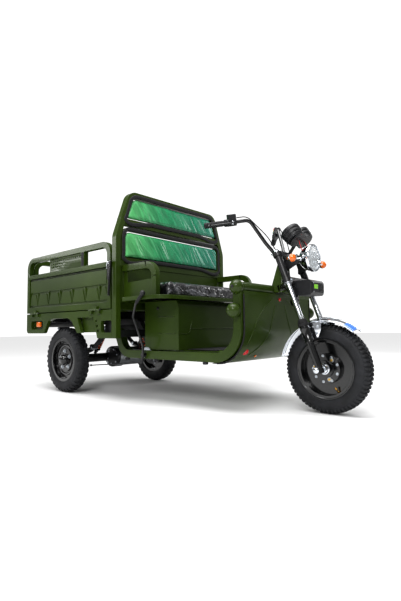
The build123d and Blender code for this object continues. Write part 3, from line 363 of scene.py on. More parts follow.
# %% Tyre rubber
def tyre_rubber(name, centre):
    item, tree, surface = material(name, "#151619", 0.62, specular_ior_level=0.4)
    where = add_node(tree, "TexCoord")
    flat = add_node(tree, "Mapping", [(where.outputs["Object"], "Vector")],
                    vector_type="POINT", location=(-centre.x, 0, -centre.z), scale=(1, 0, 1))
    reach = add_node(tree, "VectorMath", [(flat.outputs["Vector"], 0)], operation="LENGTH")
    ring = add_node(tree, "Math", [(reach.outputs["Value"], 0)], operation="MULTIPLY")
    ring.inputs[1].default_value = tau * per_metre(3.2)
    wave = add_node(tree, "Math", [(ring.outputs["Value"], 0)], operation="SINE")
    speck = add_node(tree, "TexNoise", [(where.outputs["Object"], "Vector")], scale=per_metre(4), detail=5.0)
    rings = add_node(tree, "Bump", [(wave.outputs["Value"], "Height")], strength=0.16, distance=0.0004)
    skin = add_node(tree, "Bump", [(speck.outputs["Fac"], "Height"), (rings.outputs["Normal"], "Normal")],
                    strength=0.25, distance=0.0006)
    tree.links.new(skin.outputs["Normal"], surface.inputs["Normal"])
    bloom = add_node(tree, "TexNoise", [(where.outputs["Object"], "Vector")], scale=per_metre(70), detail=5.0)
    tone = add_node(tree, "ValToRGB", [(bloom.outputs["Fac"], "Fac")])
    tone.color_ramp.elements[0].position, tone.color_ramp.elements[1].position = 0.35, 0.72
    tone.color_ramp.elements[0].color, tone.color_ramp.elements[1].color = linear("#101113"), linear("#232428")
    tree.links.new(tone.outputs["Color"], surface.inputs["Base Color"])
    return item


print("finishes:", len(bpy.data.materials))


# %% [markdown]
# ## Ways of making a piece
# Most new pieces here are one of four kinds. A turned piece is a circle that is extruded and
# resized from station to station, as on a lathe. A plate is an outline pushed out by its
# thickness. A bent wire or hose is a curve with a round bevel. A block is a box with rounded
# edges. Each function leaves a mesh with its faces pointing out and its object at the origin.


# %% Turned, plate, wire and block
bodies = frame["record"]["behaviour"]["bodies"]
body_of = {node: body for body, members in bodies.items() for node in members}


def coat(piece, finish):
    piece.data.materials.clear()
    piece.data.materials.append(finish)
    return piece


def aimed(piece, start, end):
    """Turns a piece modelled along +Z at the origin onto the line from start to end."""
    run = Vector(end) - Vector(start)
    piece.matrix_world = Matrix.Translation(start) @ run.to_track_quat("Z", "Y").to_matrix().to_4x4()
    select_only(piece)
    bpy.ops.object.transform_apply(location=True, rotation=True, scale=True)
    return piece


def turned(name, stations, start, end, finish, sides=32, bevel=0.0):
    """A round piece. Each station is a distance from the start and a radius there."""
    bpy.ops.object.select_all(action="DESELECT")
    bpy.ops.mesh.primitive_circle_add(vertices=sides, radius=stations[0][1], fill_type="NGON")
    piece = new(name)
    edit(piece)
    bpy.ops.mesh.select_all(action="SELECT")
    for (here, radius), (there, wider) in zip(stations, stations[1:]):
        bpy.ops.mesh.extrude_region_move(TRANSFORM_OT_translate={"value": (0, 0, there - here)})
        bpy.ops.transform.resize(value=(wider / radius, wider / radius, 1))
    bpy.ops.mesh.select_all(action="SELECT")
    bpy.ops.transform.translate(value=(0, 0, stations[0][0]))
    bpy.ops.mesh.normals_make_consistent(inside=False)
    done()
    if bevel:
        modify(piece, "BEVEL", width=bevel, segments=2, limit_method="ANGLE", angle_limit=radians(40))
    coat(smooth(piece), finish)
    return aimed(piece, start, end)


def plate(name, corners, depth, finish, bevel=0.0):
    """A flat plate: a ring of corners moved to their places, filled, and pushed out by depth."""
    bpy.ops.object.select_all(action="DESELECT")
    bpy.ops.mesh.primitive_circle_add(vertices=len(corners), fill_type="NGON")
    piece = new(name)
    for vertex, corner in zip(piece.data.vertices, corners):
        vertex.co = corner
    edit(piece)
    bpy.ops.mesh.select_all(action="SELECT")
    bpy.ops.mesh.extrude_region_move(TRANSFORM_OT_translate={"value": depth})
    done()
    outward(piece)
    if bevel:
        modify(piece, "BEVEL", width=bevel, segments=2, limit_method="ANGLE", angle_limit=radians(30))
    return coat(smooth(piece), finish)


def block(name, lowest, highest, finish, bevel=0.002):
    """A box between two corners, with rounded edges."""
    bpy.ops.object.select_all(action="DESELECT")
    size = Vector(highest) - Vector(lowest)
    bpy.ops.mesh.primitive_cube_add(size=1, location=(Vector(lowest) + Vector(highest)) / 2)
    piece = new(name)
    piece.scale = size
    apply_all(piece)
    modify(piece, "BEVEL", width=bevel, segments=3)
    return coat(smooth(piece), finish)


def wire(name, points, radius, finish, closed=False, soft=False, sides=3):
    """A bent rod, wire or hose through points, or along them if it is soft."""
    curve = bpy.data.curves.new(name, "CURVE")
    curve.dimensions = "3D"
    curve.bevel_depth, curve.bevel_resolution, curve.use_fill_caps = radius, sides, True
    spline = curve.splines.new("NURBS" if soft else "BEZIER")
    if soft:
        spline.points.add(len(points) - 1)
        for knot, place in zip(spline.points, points):
            knot.co = (*place, 1)
        spline.order_u, spline.use_endpoint_u, spline.resolution_u = 3, not closed, 8
    else:
        spline.bezier_points.add(len(points) - 1)
        for knot, place in zip(spline.bezier_points, points):
            knot.co = place
            knot.handle_left_type = knot.handle_right_type = "AUTO"
        spline.resolution_u = 8
    spline.use_cyclic_u = closed
    piece = bpy.data.objects.new(name, curve)
    bpy.context.scene.collection.objects.link(piece)
    select_only(piece)
    bpy.ops.object.convert(target="MESH")
    piece = bpy.context.active_object
    edit(piece)
    bpy.ops.mesh.select_all(action="SELECT")
    bpy.ops.mesh.remove_doubles(threshold=0.00001)
    bpy.ops.mesh.normals_make_consistent(inside=False)
    done()
    return coat(smooth(piece, 60), finish)


def put(piece, body, *stands_for):
    """Rides a finished piece on its body, in place of the CAD nodes named."""
    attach(piece, body)
    if stands_for:
        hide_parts(*stands_for)
    print(f"{piece.name}: {len(piece.data.polygons)} faces on {body}")
    return piece


def softened(node, finish, width=2.5, name=None, joined=True):
    """A copy of a CAD node, merged, with its sharp edges rounded. The flat faces are joined first,
    unless the node has windows: a face with holes in it shades badly once its edges are rounded."""
    copy = nodes[node].copy()
    copy.data = nodes[node].data.copy()
    copy.name = name or node + "_finished"
    bpy.context.scene.collection.objects.link(copy)
    copy.parent = None
    for key in list(copy.keys()):
        del copy[key]
    edit(copy)
    bpy.ops.mesh.select_all(action="SELECT")
    bpy.ops.mesh.remove_doubles(threshold=0.00005)
    if joined:
        bpy.ops.mesh.dissolve_limited(angle_limit=radians(1))
    done()
    if width:
        modify(copy, "BEVEL", width=width * mm, segments=2, limit_method="ANGLE", angle_limit=radians(40),
               use_clamp_overlap=False)
        smooth(copy, 40)
        modify(copy, "WEIGHTED_NORMAL", keep_sharp=True)
        return coat(copy, finish)
    return coat(smooth(copy, 40), finish)


def cut(piece, cutter):
    """Cuts one closed mesh out of another and removes the cutter."""
    modify(piece, "BOOLEAN", object=cutter, operation="DIFFERENCE", solver="EXACT")
    bpy.data.objects.remove(cutter)
    return piece


print("bodies:", ", ".join(bodies))

# %% [markdown]
# ## Painted steel
# The bed, backrest, seat deck, armrests, battery box, shield and side rails are welded and pressed
# steel in one colour. Folded sheet has a bend radius of two or three millimetres, and that radius
# catches the light along every edge. A bevel on the sharp edges of each CAD shape gives it.

# %% Painted steel pieces
painted = ["tailgate", "bed_headboard", "bed_skirt_left", "bed_skirt_right", "backrest_frame", "seat_deck",
           "armrest_left", "armrest_right", "side_rail_left", "side_rail_right", "top_bar", "headstock",
           "bed_floor", "footwell_floor", "side_gate_left", "side_gate_right", "seat_barrel", "front_shield"]
windowed = ["tailgate", "side_gate_left", "side_gate_right", "bed_skirt_left", "bed_skirt_right", "armrest_left",
            "armrest_right"]
for node in painted:
    put(softened(node, enamel, 1.5 if node in windowed else 2.5, joined=node not in windowed), body_of[node], node)

# %% [markdown]
# ## Tyres and wheels
# A tyre is moulded in a ring-shaped mould, so its section is drawn once and spun about the axle.
# The tread lugs are separate blocks of rubber standing on the carcass. One lug is cut as a plate
# that wraps the shoulder, then spun as copies, which keeps every lug light.


# %% Carcass and lugs
def spun(name, outline, centre, finish, steps=72):
    """A ring of any closed section: (radius, across) points spun about a wheel's axle."""
    bpy.ops.object.select_all(action="DESELECT")
    bpy.ops.mesh.primitive_circle_add(vertices=len(outline), fill_type="NOTHING")
    piece = new(name)
    for vertex, (radius, across) in zip(piece.data.vertices, outline):
        vertex.co = centre + Vector((radius * mm, across * mm, 0))
    edit(piece)
    bpy.ops.mesh.select_all(action="SELECT")
    bpy.ops.mesh.spin(steps=steps, angle=tau, center=centre, axis=(0, 1, 0))
    bpy.ops.mesh.select_all(action="SELECT")
    bpy.ops.mesh.remove_doubles(threshold=0.0001)
    bpy.ops.mesh.normals_make_consistent(inside=False)
    done()
    return coat(smooth(piece, 35), finish)


def around(piece, centre, count, axis=(0, 1, 0)):
    """Spins copies of a piece evenly about a centre."""
    edit(piece)
    bpy.ops.mesh.select_all(action="SELECT")
    bpy.ops.mesh.spin(steps=count - 1, dupli=True, angle=tau * (count - 1) / count, center=centre, axis=axis)
    done()
    return piece


def both_sides(half):
    """A section's right half, followed by its mirror image."""
    return half + [(radius, -across) for radius, across in reversed(half)]


carcass = both_sides([(150, 30), (156, 36), (166, 39), (171, 43), (174, 46.5), (178, 47), (184, 49.5), (187, 49),
                      (200, 50.5),
                      (203, 49.7), (212, 49.6), (214, 48.4), (224, 46), (233, 41), (240, 33), (243.5, 20),
                      (244.5, 7)])


def tyre(node, finish, lugs):
    """A carcass with rings of lugs; each lug is (outline across and up, thickness, count, half a step round)."""
    centre = middle(node)
    rings = [spun(node + "_rubber", carcass, centre, finish)]
    for outline, thick, count, shift, tilt in lugs:
        lug = plate(node + "_lug", [centre + Vector((-thick / 2 * mm, across * mm, radius * mm)) for across,
                                    radius in outline],
                    (thick * mm, 0, 0), finish, bevel=0.8 * mm)
        if tilt:
            edit(lug)
            bpy.ops.mesh.select_all(action="SELECT")
            bpy.ops.transform.rotate(value=radians(tilt), orient_axis="Z",
                                     center_override=centre + Vector((0, 0, 0.245)))
            done()
        if shift:
            edit(lug)
            bpy.ops.mesh.select_all(action="SELECT")
            bpy.ops.transform.rotate(value=shift * tau / count, orient_axis="Y", center_override=centre)
            done()
        rings.append(around(lug, centre, count))
    return join(node + "_moulded", rings)


def shoulder(side):
    return [(side * 23, 248.6), (side * 36, 244.5), (side * 44, 237), (side * 48.5, 226), (side * 47, 222),
            (side * 40, 232),
            (side * 30, 238), (side * 20, 241)]


def crown(low_edge, high_edge):
    return [(low_edge, 240), (low_edge + 1, 249.6), (high_edge - 1, 249.6), (high_edge, 240)]


rubber_front = tyre_rubber("tyre_rubber_front", axle_front)
rubber_rear = tyre_rubber("tyre_rubber_rear", axle_rear)
road_tread = [(shoulder(1), 13, 64, 0, 0), (shoulder(-1), 13, 64, 0.5, 0), (crown(3, 18), 15, 62, 0, 24),
              (crown(-18, -3), 15, 62, 0.5, -24)]
put(tyre("tyre_front", rubber_front, road_tread), "front_wheel", "tyre_front")
knobs = [(shoulder(1), 19, 36, 0, 0), (shoulder(-1), 19, 36, 0.5, 0), (crown(2, 19), 20, 36, 0.25, 16),
         (crown(-19, -2), 20, 36, 0.75, -16)]
for side in ("right", "left"):
    put(tyre(f"tyre_rear_{side}", rubber_rear, knobs), f"rear_wheel_{side}", f"tyre_rear_{side}")

# %% [markdown]
# The wheels are black stove-enamelled steel. The front one has a plain disc with gold and silver
# bolts, and the rear ones are pressed discs with five nuts, a raised ring and a hub cap. A bolt is
# a hexagon with a chamfered head on a washer.


# %% Bolts
def bolt(name, place, direction, size, finish, washer=None):
    """A hexagon bolt head on a washer. Size is across its corners, in millimetres."""
    start, way = Vector(place), Vector(direction).normalized()
    head = turned(name, [(0, size / 2 * mm), (0.55 * size * mm, size / 2 * mm), (0.66 * size * mm, 0.4 * size * mm)],
                  start, start + way, finish, sides=6)
    ring = turned(name + "_washer", [(0, 0.8 * size * mm), (0.14 * size * mm, 0.8 * size * mm),
                                     (0.2 * size * mm, 0.72 * size * mm)], start, start + way, washer or finish,
                                     sides=16)
    return join(name, [head, ring])


def bolts_round(name, centre, across, radius, count, size, finish, side, start=0.0, only=None):
    """Bolts on a circle about a wheel's axle, facing left or right."""
    heads = []
    for k in only or range(count):
        angle = start + tau * k / count
        place = centre + Vector((radius * mm * cos(angle), across * mm, radius * mm * sin(angle)))
        heads.append(bolt(name, place, (0, side, 0), size, finish, zinc))
    return join(name, heads)


# %% Front wheel
hub = axle_front
rim = softened("rim_front", stoved, 1.2, joined=False)
dust_ring = spun("front_disc_ring", [(60, 30), (78, 30), (84, 26), (84, 24), (60, 24)], hub, stoved, 48)
parts = [rim, dust_ring]
for side in (-1, 1):
    parts.append(spun("rim_bead", [(157, side * 40), (163, side * 44.5), (169, side * 44), (166, side * 39)], hub,
                      stoved, 72))
rim = join("front_rim_finished", parts)
put(rim, "front_wheel", "rim_front")
put(bolts_round("front_gold_bolts", hub, -34.5, 62, 3, 15, yellow_zinc, -1, start=0.9), "front_wheel")
put(bolts_round("front_zinc_bolts", hub, -34.5, 73, 9, 10, zinc, -1, start=0.35), "front_wheel")
put(bolts_round("front_left_bolts", hub, 24.5, 64, 5, 12, yellow_zinc, 1, start=0.3), "front_wheel")
cap_ring = turned("front_hub_cap", [(0, 0.031), (0.004, 0.031), (0.006, 0.026), (0.013, 0.023), (0.015, 0.018)],
                  hub + Vector((0, -0.046, 0)), hub + Vector((0, -1, 0)), chrome)
put(cap_ring, "front_wheel")
put(turned("front_hub_cap_left", [(0, 0.031), (0.004, 0.031), (0.006, 0.026), (0.013, 0.023), (0.015, 0.018)],
           hub + Vector((0, 0.046, 0)), hub + Vector((0, 1, 0)), chrome), "front_wheel")
valve_root = hub + Vector((0.148 * cos(-1.1), -0.012, 0.148 * sin(-1.1)))
valve_way = Vector((-cos(-1.1), -0.5, -sin(-1.1)))
valve = turned("front_valve", [(0, 0.006), (0.012, 0.005), (0.013, 0.004), (0.026, 0.004), (0.027, 0.0052),
                               (0.036, 0.0052),
                               (0.038, 0.003)], valve_root, valve_root + valve_way, brass, sides=16)
put(valve, "front_wheel")

# %% Rear wheels
for side, word in ((-1, "right"), (1, "left")):
    hub = middle(f"tyre_rear_{word}")
    body = f"rear_wheel_{word}"
    rim = softened(f"rim_rear_{word}", stoved, 1.6)
    swage = spun("disc_swage", [(100, side * 11), (104, side * 17), (112, side * 19), (120, side * 17),
                                (124, side * 11)], hub, stoved, 64)
    bright = spun("disc_ring", [(86, side * 19.5), (87, side * 22.5), (92, side * 22.5), (93, side * 19.5)], hub,
                  stoved, 64)
    put(join(f"rear_rim_{word}_finished", [rim, swage]), body, f"rim_rear_{word}")
    put(bright, body)
    put(bolts_round(f"wheel_nuts_{word}", hub, side * 20.2, 66, 5, 19, zinc, side, start=0.4), body)
    cap = turned(f"hub_cap_{word}", [(0, 0.040), (0.003, 0.041), (0.010, 0.038), (0.020, 0.034), (0.027, 0.026),
                                     (0.030, 0.012)],
                 hub + Vector((0, side * 0.034, 0)), hub + Vector((0, side, 0)), stoved)
    put(cap, body)
    # Painted shade: ten flat dark rubber discs on each wheel's disc stand for its vent holes, whose insides are in
    # shade.
    holes = []
    for k in range(10):
        angle = tau * (k + 0.5) / 10
        place = hub + Vector((0.1395 * cos(angle), side * 0.0125, 0.1395 * sin(angle)))
        holes.append(turned("vent", [(0, 0.0065), (0.002, 0.0065), (0.0025, 0.0055)], place,
                            place + Vector((0, side, 0)), soft_rubber, sides=12))
    put(join(f"disc_vent_shades_{word}", holes), body)

# %% [markdown]
# ## Seat cushion and backrest pads
# The cushion is foam in black vinyl, still in its clear wrapping film, which creases in fine
# bright folds. Each is blown up a little with cloth simulation: the box is remeshed to an even
# grid, a gentle pressure swells it, and a limit on how far any point may move keeps it on its
# seat. The folds are finer than the grid, so they come after it, as bump in the material.


# %% Padded pieces
def padded(node, finish, body, shrink, voxel, cap, frames=20):
    """Swells a shape that is a little smaller than the CAD node, and caps how far it may move."""
    piece = softened(node, finish, 0)
    centre = middle(node)
    size = Vector(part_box(node)[1]) - Vector(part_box(node)[0])
    edit(piece)
    bpy.ops.mesh.select_all(action="SELECT")
    bpy.ops.transform.resize(value=[1 - 2 * shrink[k] * mm / size[k] for k in range(3)], center_override=centre)
    done()
    modify(piece, "REMESH", mode="VOXEL", voxel_size=voxel * mm)
    start = [vertex.co.copy() for vertex in piece.data.vertices]
    cloth = piece.modifiers.new("cloth", "CLOTH")
    cloth.settings.quality = 4
    cloth.settings.mass = 0.2
    cloth.settings.use_pressure = True
    cloth.settings.uniform_pressure_force = 4
    cloth.settings.effector_weights.gravity = 0
    cloth.settings.tension_stiffness = cloth.settings.compression_stiffness = 12
    cloth.settings.bending_stiffness = 0.4
    cloth.point_cache.frame_start, cloth.point_cache.frame_end = 1, frames
    for number in range(1, frames + 1):
        bpy.context.scene.frame_set(number)
    select_only(piece)
    bpy.ops.object.modifier_apply(modifier="cloth")
    bpy.context.scene.frame_set(1)
    floor_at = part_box(node)[0].z + shrink[2] * mm
    for vertex, place in zip(piece.data.vertices, start):
        move = vertex.co - place
        if move.length > cap * mm:
            move *= cap * mm / move.length
        vertex.co = place + move
        if node == "seat_cushion":
            vertex.co.z = max(vertex.co.z, floor_at)
    modify(piece, "SUBSURF", levels=1, render_levels=1)
    coat(smooth(piece, 60), finish)
    return put(piece, body, node)


# %% [markdown]
# ### Green film over the backrest pads
# The pads are covered in printed green film, light green at the vehicle's right and teal towards
# its left, and the clear wrap over it hangs in long slanting folds. The colour runs along Y, and
# the folds are noise that is stretched along a slanting line with a Mapping node, so they follow
# the pad. Two sizes of fold, 95 mm and 34 mm across, make it look like thin plastic.

# %% Green pad film
green_film, tree, surface = material("green_printed_film", "#1E8A5A", 0.38, coat_weight=0.22, coat_roughness=0.3)
where = add_node(tree, "TexCoord")
across = add_node(tree, "SeparateXYZ", [(where.outputs["Object"], "Vector")])
share = add_node(tree, "MapRange", [(across.outputs["Y"], "Value")], from_min=-0.48, from_max=0.42)
tint = add_node(tree, "ValToRGB", [(share.outputs["Result"], "Fac")])
tint.color_ramp.elements[0].color, tint.color_ramp.elements[1].color = linear("#5DB56F"), linear("#148068")
tint.color_ramp.elements.new(0.35).color = linear("#2C9560")
slant = add_node(tree, "Mapping", [(where.outputs["Object"], "Vector")], vector_type="TEXTURE",
                 rotation=(radians(38), 0, 0), scale=(1.0, 1.0, 5.0))
wide = add_node(tree, "TexNoise", [(slant.outputs["Vector"], "Vector")], scale=per_metre(95), detail=2.0,
                distortion=0.5)
fine = add_node(tree, "TexNoise", [(slant.outputs["Vector"], "Vector")], scale=per_metre(34), detail=3.0,
                distortion=0.7)
ridge = add_node(tree, "ValToRGB", [(wide.outputs["Fac"], "Fac")])
ridge.color_ramp.elements[0].position, ridge.color_ramp.elements[1].position = 0.42, 0.62
folds = add_node(tree, "Bump", [(ridge.outputs["Color"], "Height")], strength=0.5, distance=0.012)
creases = add_node(tree, "Bump", [(fine.outputs["Fac"], "Height"), (folds.outputs["Normal"], "Normal")],
                   strength=0.35, distance=0.005)
tree.links.new(creases.outputs["Normal"], surface.inputs["Normal"])
tree.links.new(creases.outputs["Normal"], surface.inputs["Coat Normal"])
# Painted shade and highlight: the fine fold noise scales the printed colour, darker in the hollows of the folds and a
# little lighter on their ridges.
shaded = add_node(tree, "Mix", data_type="RGBA", blend_type="MULTIPLY")
fold_painted_shade = add_node(tree, "MapRange", [(fine.outputs["Fac"], "Value")], from_min=0.3, from_max=0.7, to_min=0.62,
                to_max=1.12)
tree.links.new(fold_painted_shade.outputs["Result"], shaded.inputs[7])
tree.links.new(tint.outputs["Color"], shaded.inputs[6])
shaded.inputs["Factor"].default_value = 1.0
tree.links.new(shaded.outputs[2], surface.inputs["Base Color"])

# %% [markdown]
# ### Wrapped black vinyl
# The seat's film is tighter and crumpled: a Voronoi pattern's cell edges, pulled about by noise,
# give sharp creases that meet at points. Where a crease stands up the base colour is painted lighter,
# a painted highlight for the clear film catching white light on the ridges.

# %% Wrapped vinyl
vinyl, tree, surface = material("black_vinyl_in_clear_film", "#1B1B1F", 0.3, coat_weight=1.0, coat_roughness=0.08)
where = add_node(tree, "TexCoord")
sway = add_node(tree, "TexNoise", [(where.outputs["Object"], "Vector")], scale=per_metre(70), detail=3.0)
pulled = add_node(tree, "VectorMath", [(sway.outputs["Color"], 0)], operation="SCALE")
pulled.inputs["Scale"].default_value = 0.09
bent = add_node(tree, "VectorMath", [(where.outputs["Object"], 0), (pulled.outputs["Vector"], 1)], operation="ADD")
lean = add_node(tree, "Mapping", [(bent.outputs["Vector"], "Vector")], vector_type="POINT",
                rotation=(radians(15), 0, radians(20)), scale=(1.0, 0.36, 1.0))
cells = add_node(tree, "TexVoronoi", [(lean.outputs["Vector"], "Vector")], feature="DISTANCE_TO_EDGE",
                 scale=per_metre(60))
crumple = add_node(tree, "TexNoise", [(lean.outputs["Vector"], "Vector")], scale=per_metre(44), detail=3.0,
                   distortion=1.0)
edges = add_node(tree, "MapRange", [(cells.outputs["Distance"], "Value")], from_max=0.22, to_min=1.0, to_max=0.0)
crest = add_node(tree, "Bump", [(edges.outputs["Result"], "Height")], strength=0.35, distance=0.006)
skin = add_node(tree, "Bump", [(crumple.outputs["Fac"], "Height"), (crest.outputs["Normal"], "Normal")], strength=0.7,
                distance=0.008)
tree.links.new(skin.outputs["Normal"], surface.inputs["Normal"])
tree.links.new(skin.outputs["Normal"], surface.inputs["Coat Normal"])
# Painted highlight: the crumple noise lifts the base colour from near black to pale grey on the raised creases, for
# the film catching white light.
glint = add_node(tree, "ValToRGB", [(crumple.outputs["Fac"], "Fac")])
glint.color_ramp.elements[0].position, glint.color_ramp.elements[1].position = 0.54, 0.78
glint.color_ramp.elements[0].color, glint.color_ramp.elements[1].color = linear("#121216"), linear("#85868D")
tree.links.new(glint.outputs["Color"], surface.inputs["Base Color"])

# %% The three padded pieces
padded("seat_cushion", vinyl, "body", (6, 6, 5), 6, 9)
padded("backrest_pad_upper", green_film, "body", (4, 3, 3), 5, 6)
padded("backrest_pad_lower", green_film, "body", (4, 3, 3), 5, 6)

# %% [markdown]
# ## Details on the painted steel
# The battery box has stepped swages, pressed lines that stiffen a flat sheet. Each is a half-round
# ridge, so a thin bar sunk to half its thickness into the face stands for it. The gates have rows
# of slots punched in their plate, a rolled seam under the middle rail, and a black lock channel.

# %% Swages on the battery box
front_x, box_side = high("seat_barrel", "x"), high("seat_barrel", "y")
swages = []
for sign in (-1, 1):
    swages.append(wire("front_swage", [(front_x, sign * 0.376, 0.452), (front_x, sign * 0.30, 0.452),
                                       (front_x, sign * 0.285, 0.458),
                                       (front_x, sign * 0.262, 0.512), (front_x, sign * 0.255, 0.528)], 3.4 * mm,
                                       enamel, sides=2))
    swages.append(wire("front_swage", [(front_x, sign * 0.268, 0.480), (front_x, sign * 0.20, 0.482),
                                       (front_x, sign * 0.08, 0.482),
                                       (front_x, 0, 0.482)], 3.4 * mm, enamel, sides=2))
    for z in (0.452, 0.560):
        swages.append(wire("side_swage", [(front_x - 0.185, sign * box_side, z), (front_x - 0.10, sign * box_side, z),
                                          (front_x - 0.03, sign * box_side, z)], 3.4 * mm, enamel, sides=2))
    swages.append(wire("corner_bead", [(front_x - 0.001, sign * (box_side - 0.001), 0.36),
                                       (front_x - 0.001, sign * (box_side - 0.001), 0.50),
                                       (front_x - 0.001, sign * (box_side - 0.001),
                                        high("seat_barrel", "z") - 0.045)], 2.2 * mm, enamel, sides=2))
put(join("box_swages", swages), "body")
lock = turned("box_lock", [(0, 0.011), (0.003, 0.011), (0.004, 0.008), (0.0055, 0.006)],
              (front_x - 0.19, -box_side, 0.617), (front_x - 0.19, -box_side - 1, 0.617), abs_black, sides=24)
put(lock, "body")

# %% Creases, edge rubber and reflectors on the shield
shield_x, shield_low, shield_half = high("front_shield", "x"), low("front_shield", "z"), high("front_shield", "y")
bend = 0.1975


def on_shield(y, z):
    """A point on the shield's outer face, which is upright above its bend."""
    drop = max(0.0, shield_low + bend - z)
    return Vector((shield_x - bend + (bend * bend - drop * drop) ** 0.5, y, z))


creases = []
for sign in (-1, 1):
    creases.append(wire("crease", [on_shield(sign * y, z) for y,
                                   z in ((0.085, 0.655), (0.16, 0.61), (0.235, 0.545), (0.285, 0.475),
                                                                       (0.315, 0.42), (0.33, 0.385))], 2.5 * mm,
                                                                       enamel, sides=2))
    creases.append(wire("crease", [on_shield(sign * y, z) for y,
                                   z in ((0.055, 0.62), (0.09, 0.53), (0.13, 0.45), (0.19, 0.375),
                                                                       (0.25, 0.325))], 2.5 * mm, enamel, sides=2))
put(join("shield_creases", creases), "body")
put(block("shield_top_return", (shield_x - 0.0032, -0.378, 0.664), (shield_x - 0.0004, 0.378, 0.690), enamel,
          bevel=1 * mm), "body")
edging = []
for sign in (-1, 1):
    run = [on_shield(sign * (shield_half - 0.001), z) for z in (0.668, 0.62, 0.57, 0.52, 0.475, 0.42, 0.37, 0.33,
                                                                0.30, 0.285)]
    run.append(Vector((shield_x - bend, sign * (shield_half - 0.001), shield_low + 0.002)))
    edging.append(wire("edge_rubber", run, 4.5 * mm, soft_rubber, sides=3))
put(join("shield_edge_rubber", edging), "body")

# %% [markdown]
# ### Lens plastics
# Reflectors and lamp lenses are moulded acrylic, clear right through, with prisms on the inside.
# The prisms are a fine grid of bumps, drawn at 4 mm. The plastic is part glass and part glowing
# colour, because light comes back out of it from the reflector behind.


# %% Lens plastic
def lens_plastic(name, hex_colour, through, grid_mm):
    item, tree, surface = material(name, hex_colour, 0.12, transmission_weight=through, coat_weight=0.5)
    surface.inputs["IOR"].default_value = 1.49
    where = add_node(tree, "TexCoord")
    grid = add_node(tree, "TexVoronoi", [(where.outputs["Object"], "Vector")], scale=per_metre(grid_mm),
                    randomness=0.1)
    ribs = add_node(tree, "Bump", [(grid.outputs["Distance"], "Height")], strength=0.5, distance=0.001)
    tree.links.new(ribs.outputs["Normal"], surface.inputs["Normal"])
    return item


red_lens = lens_plastic("red_acrylic_lens", "#D01018", 0.25, 5)
orange_lens = lens_plastic("orange_acrylic_lens", "#F5780A", 0.3, 5)
white_lens = lens_plastic("clear_acrylic_lens", "#F2F4F5", 0.75, 6)
reflectors = []
for sign in (-1, 1):
    at = on_shield(sign * 0.30, 0.345)
    reflectors.append(turned("reflector", [(0, 0.020), (0.004, 0.020), (0.0065, 0.017), (0.007, 0.012)],
                             at - Vector((0.004, 0, -0.002)),
                             at + Vector((0.8, sign * 0.25, -0.5)), red_lens, sides=32))
    at = on_shield(sign * 0.16, 0.315)
    reflectors.append(turned("reflector", [(0, 0.009), (0.005, 0.009), (0.007, 0.006)],
                             at - Vector((0.003, 0, -0.002)),
                             at + Vector((0.6, 0, -0.6)), orange_lens, sides=24))
put(join("shield_reflectors", reflectors), "body")

# %% Slots in the gates' plates
for side, word in ((-1, "right"), (1, "left")):
    gate = bpy.data.objects[f"side_gate_{word}_finished"]
    plate_x = axle_rear.x - 0.137
    outer = side * (half_bed - 0.010)
    slots = []
    for row, count in enumerate((15, 6, 5)):
        for k in range(count):
            x0 = plate_x + 0.024 + k * 0.0285
            z0 = 1.018 - row * 0.0215
            slots.append(block("slot", (x0, min(outer, outer - side * 0.02), z0),
                               (x0 + 0.0155, max(outer, outer - side * 0.02), z0 + 0.0085),
                               enamel, bevel=1.5 * mm))
    cut(gate, join("slots", slots))
    smooth(gate, 40)
    face = side * (half_bed - 0.016)
    ridge = wire(f"plate_ridge_{word}", [(plate_x + 0.02, face, 0.958), (plate_x + 0.10, face, 0.962),
                                         (plate_x + 0.165, face, 0.968),
                                         (plate_x + 0.20, face, 1.002), (plate_x + 0.225, face, 1.012),
                                         (plate_x + 0.33, face, 1.013),
                                         (plate_x + 0.45, face, 1.013)], 1.8 * mm, enamel, sides=2)
    seam_y = side * (half_bed - 0.0085)
    seam = wire(f"gate_seam_{word}", [(low(f"side_gate_{word}", "x") + 0.052, seam_y, 0.8975),
                                      (plate_x, seam_y, 0.8975),
                                      (high(f"side_gate_{word}", "x") - 0.052, seam_y, 0.8975)], 2.0 * mm, enamel,
                                      sides=3)
    put(ridge, f"side_gate_{word}")
    put(seam, f"side_gate_{word}")
    channel_x = axle_rear.x + 0.335
    channel = block(f"lock_channel_{word}", (channel_x + 0.004, side * half_bed - 0.0015, 0.943),
                    (channel_x + 0.036, side * half_bed + 0.0015, 1.043), soft_rubber, bevel=1 * mm)
    put(channel, f"side_gate_{word}")
    y = side * (half_bed - 0.022)
    liner = block(f"slot_liner_{word}", (plate_x + 0.014, y - 0.0015, 0.965), (plate_x + 0.458, y + 0.0015, 1.034),
                  enamel, bevel=1 * mm)
    put(liner, f"side_gate_{word}")

# %% Painted shade: dark strips in the recess under the gates' middle rails
# The recess under each gate's middle rail is only in shade: a thin strip in the black rubber finish laid in it is
# painted shade, on both side gates and the tailgate.
for side, word in ((-1, "right"), (1, "left")):
    x0, x1 = low(f"side_gate_{word}", "x") + 0.041, high(f"side_gate_{word}", "x") - 0.041
    back = side * (half_bed - 0.0138)
    strip = block(f"gate_painted_shade_strip_{word}", (x0, min(back, back + side * 0.002), 0.8915),
                  (x1, max(back, back + side * 0.002), 0.9065),
                  soft_rubber, bevel=0.5 * mm)
    put(strip, f"side_gate_{word}")
shade_strip_x = low("tailgate", "x") + 0.0175
half_tail = high("tailgate", "y")
seal = block("tailgate_painted_shade_strip", (shade_strip_x + 0.0115, -half_tail + 0.041, 0.8915),
             (shade_strip_x + 0.0135, half_tail - 0.041, 0.9065), soft_rubber, bevel=0.5 * mm)
put(seal, "tailgate")
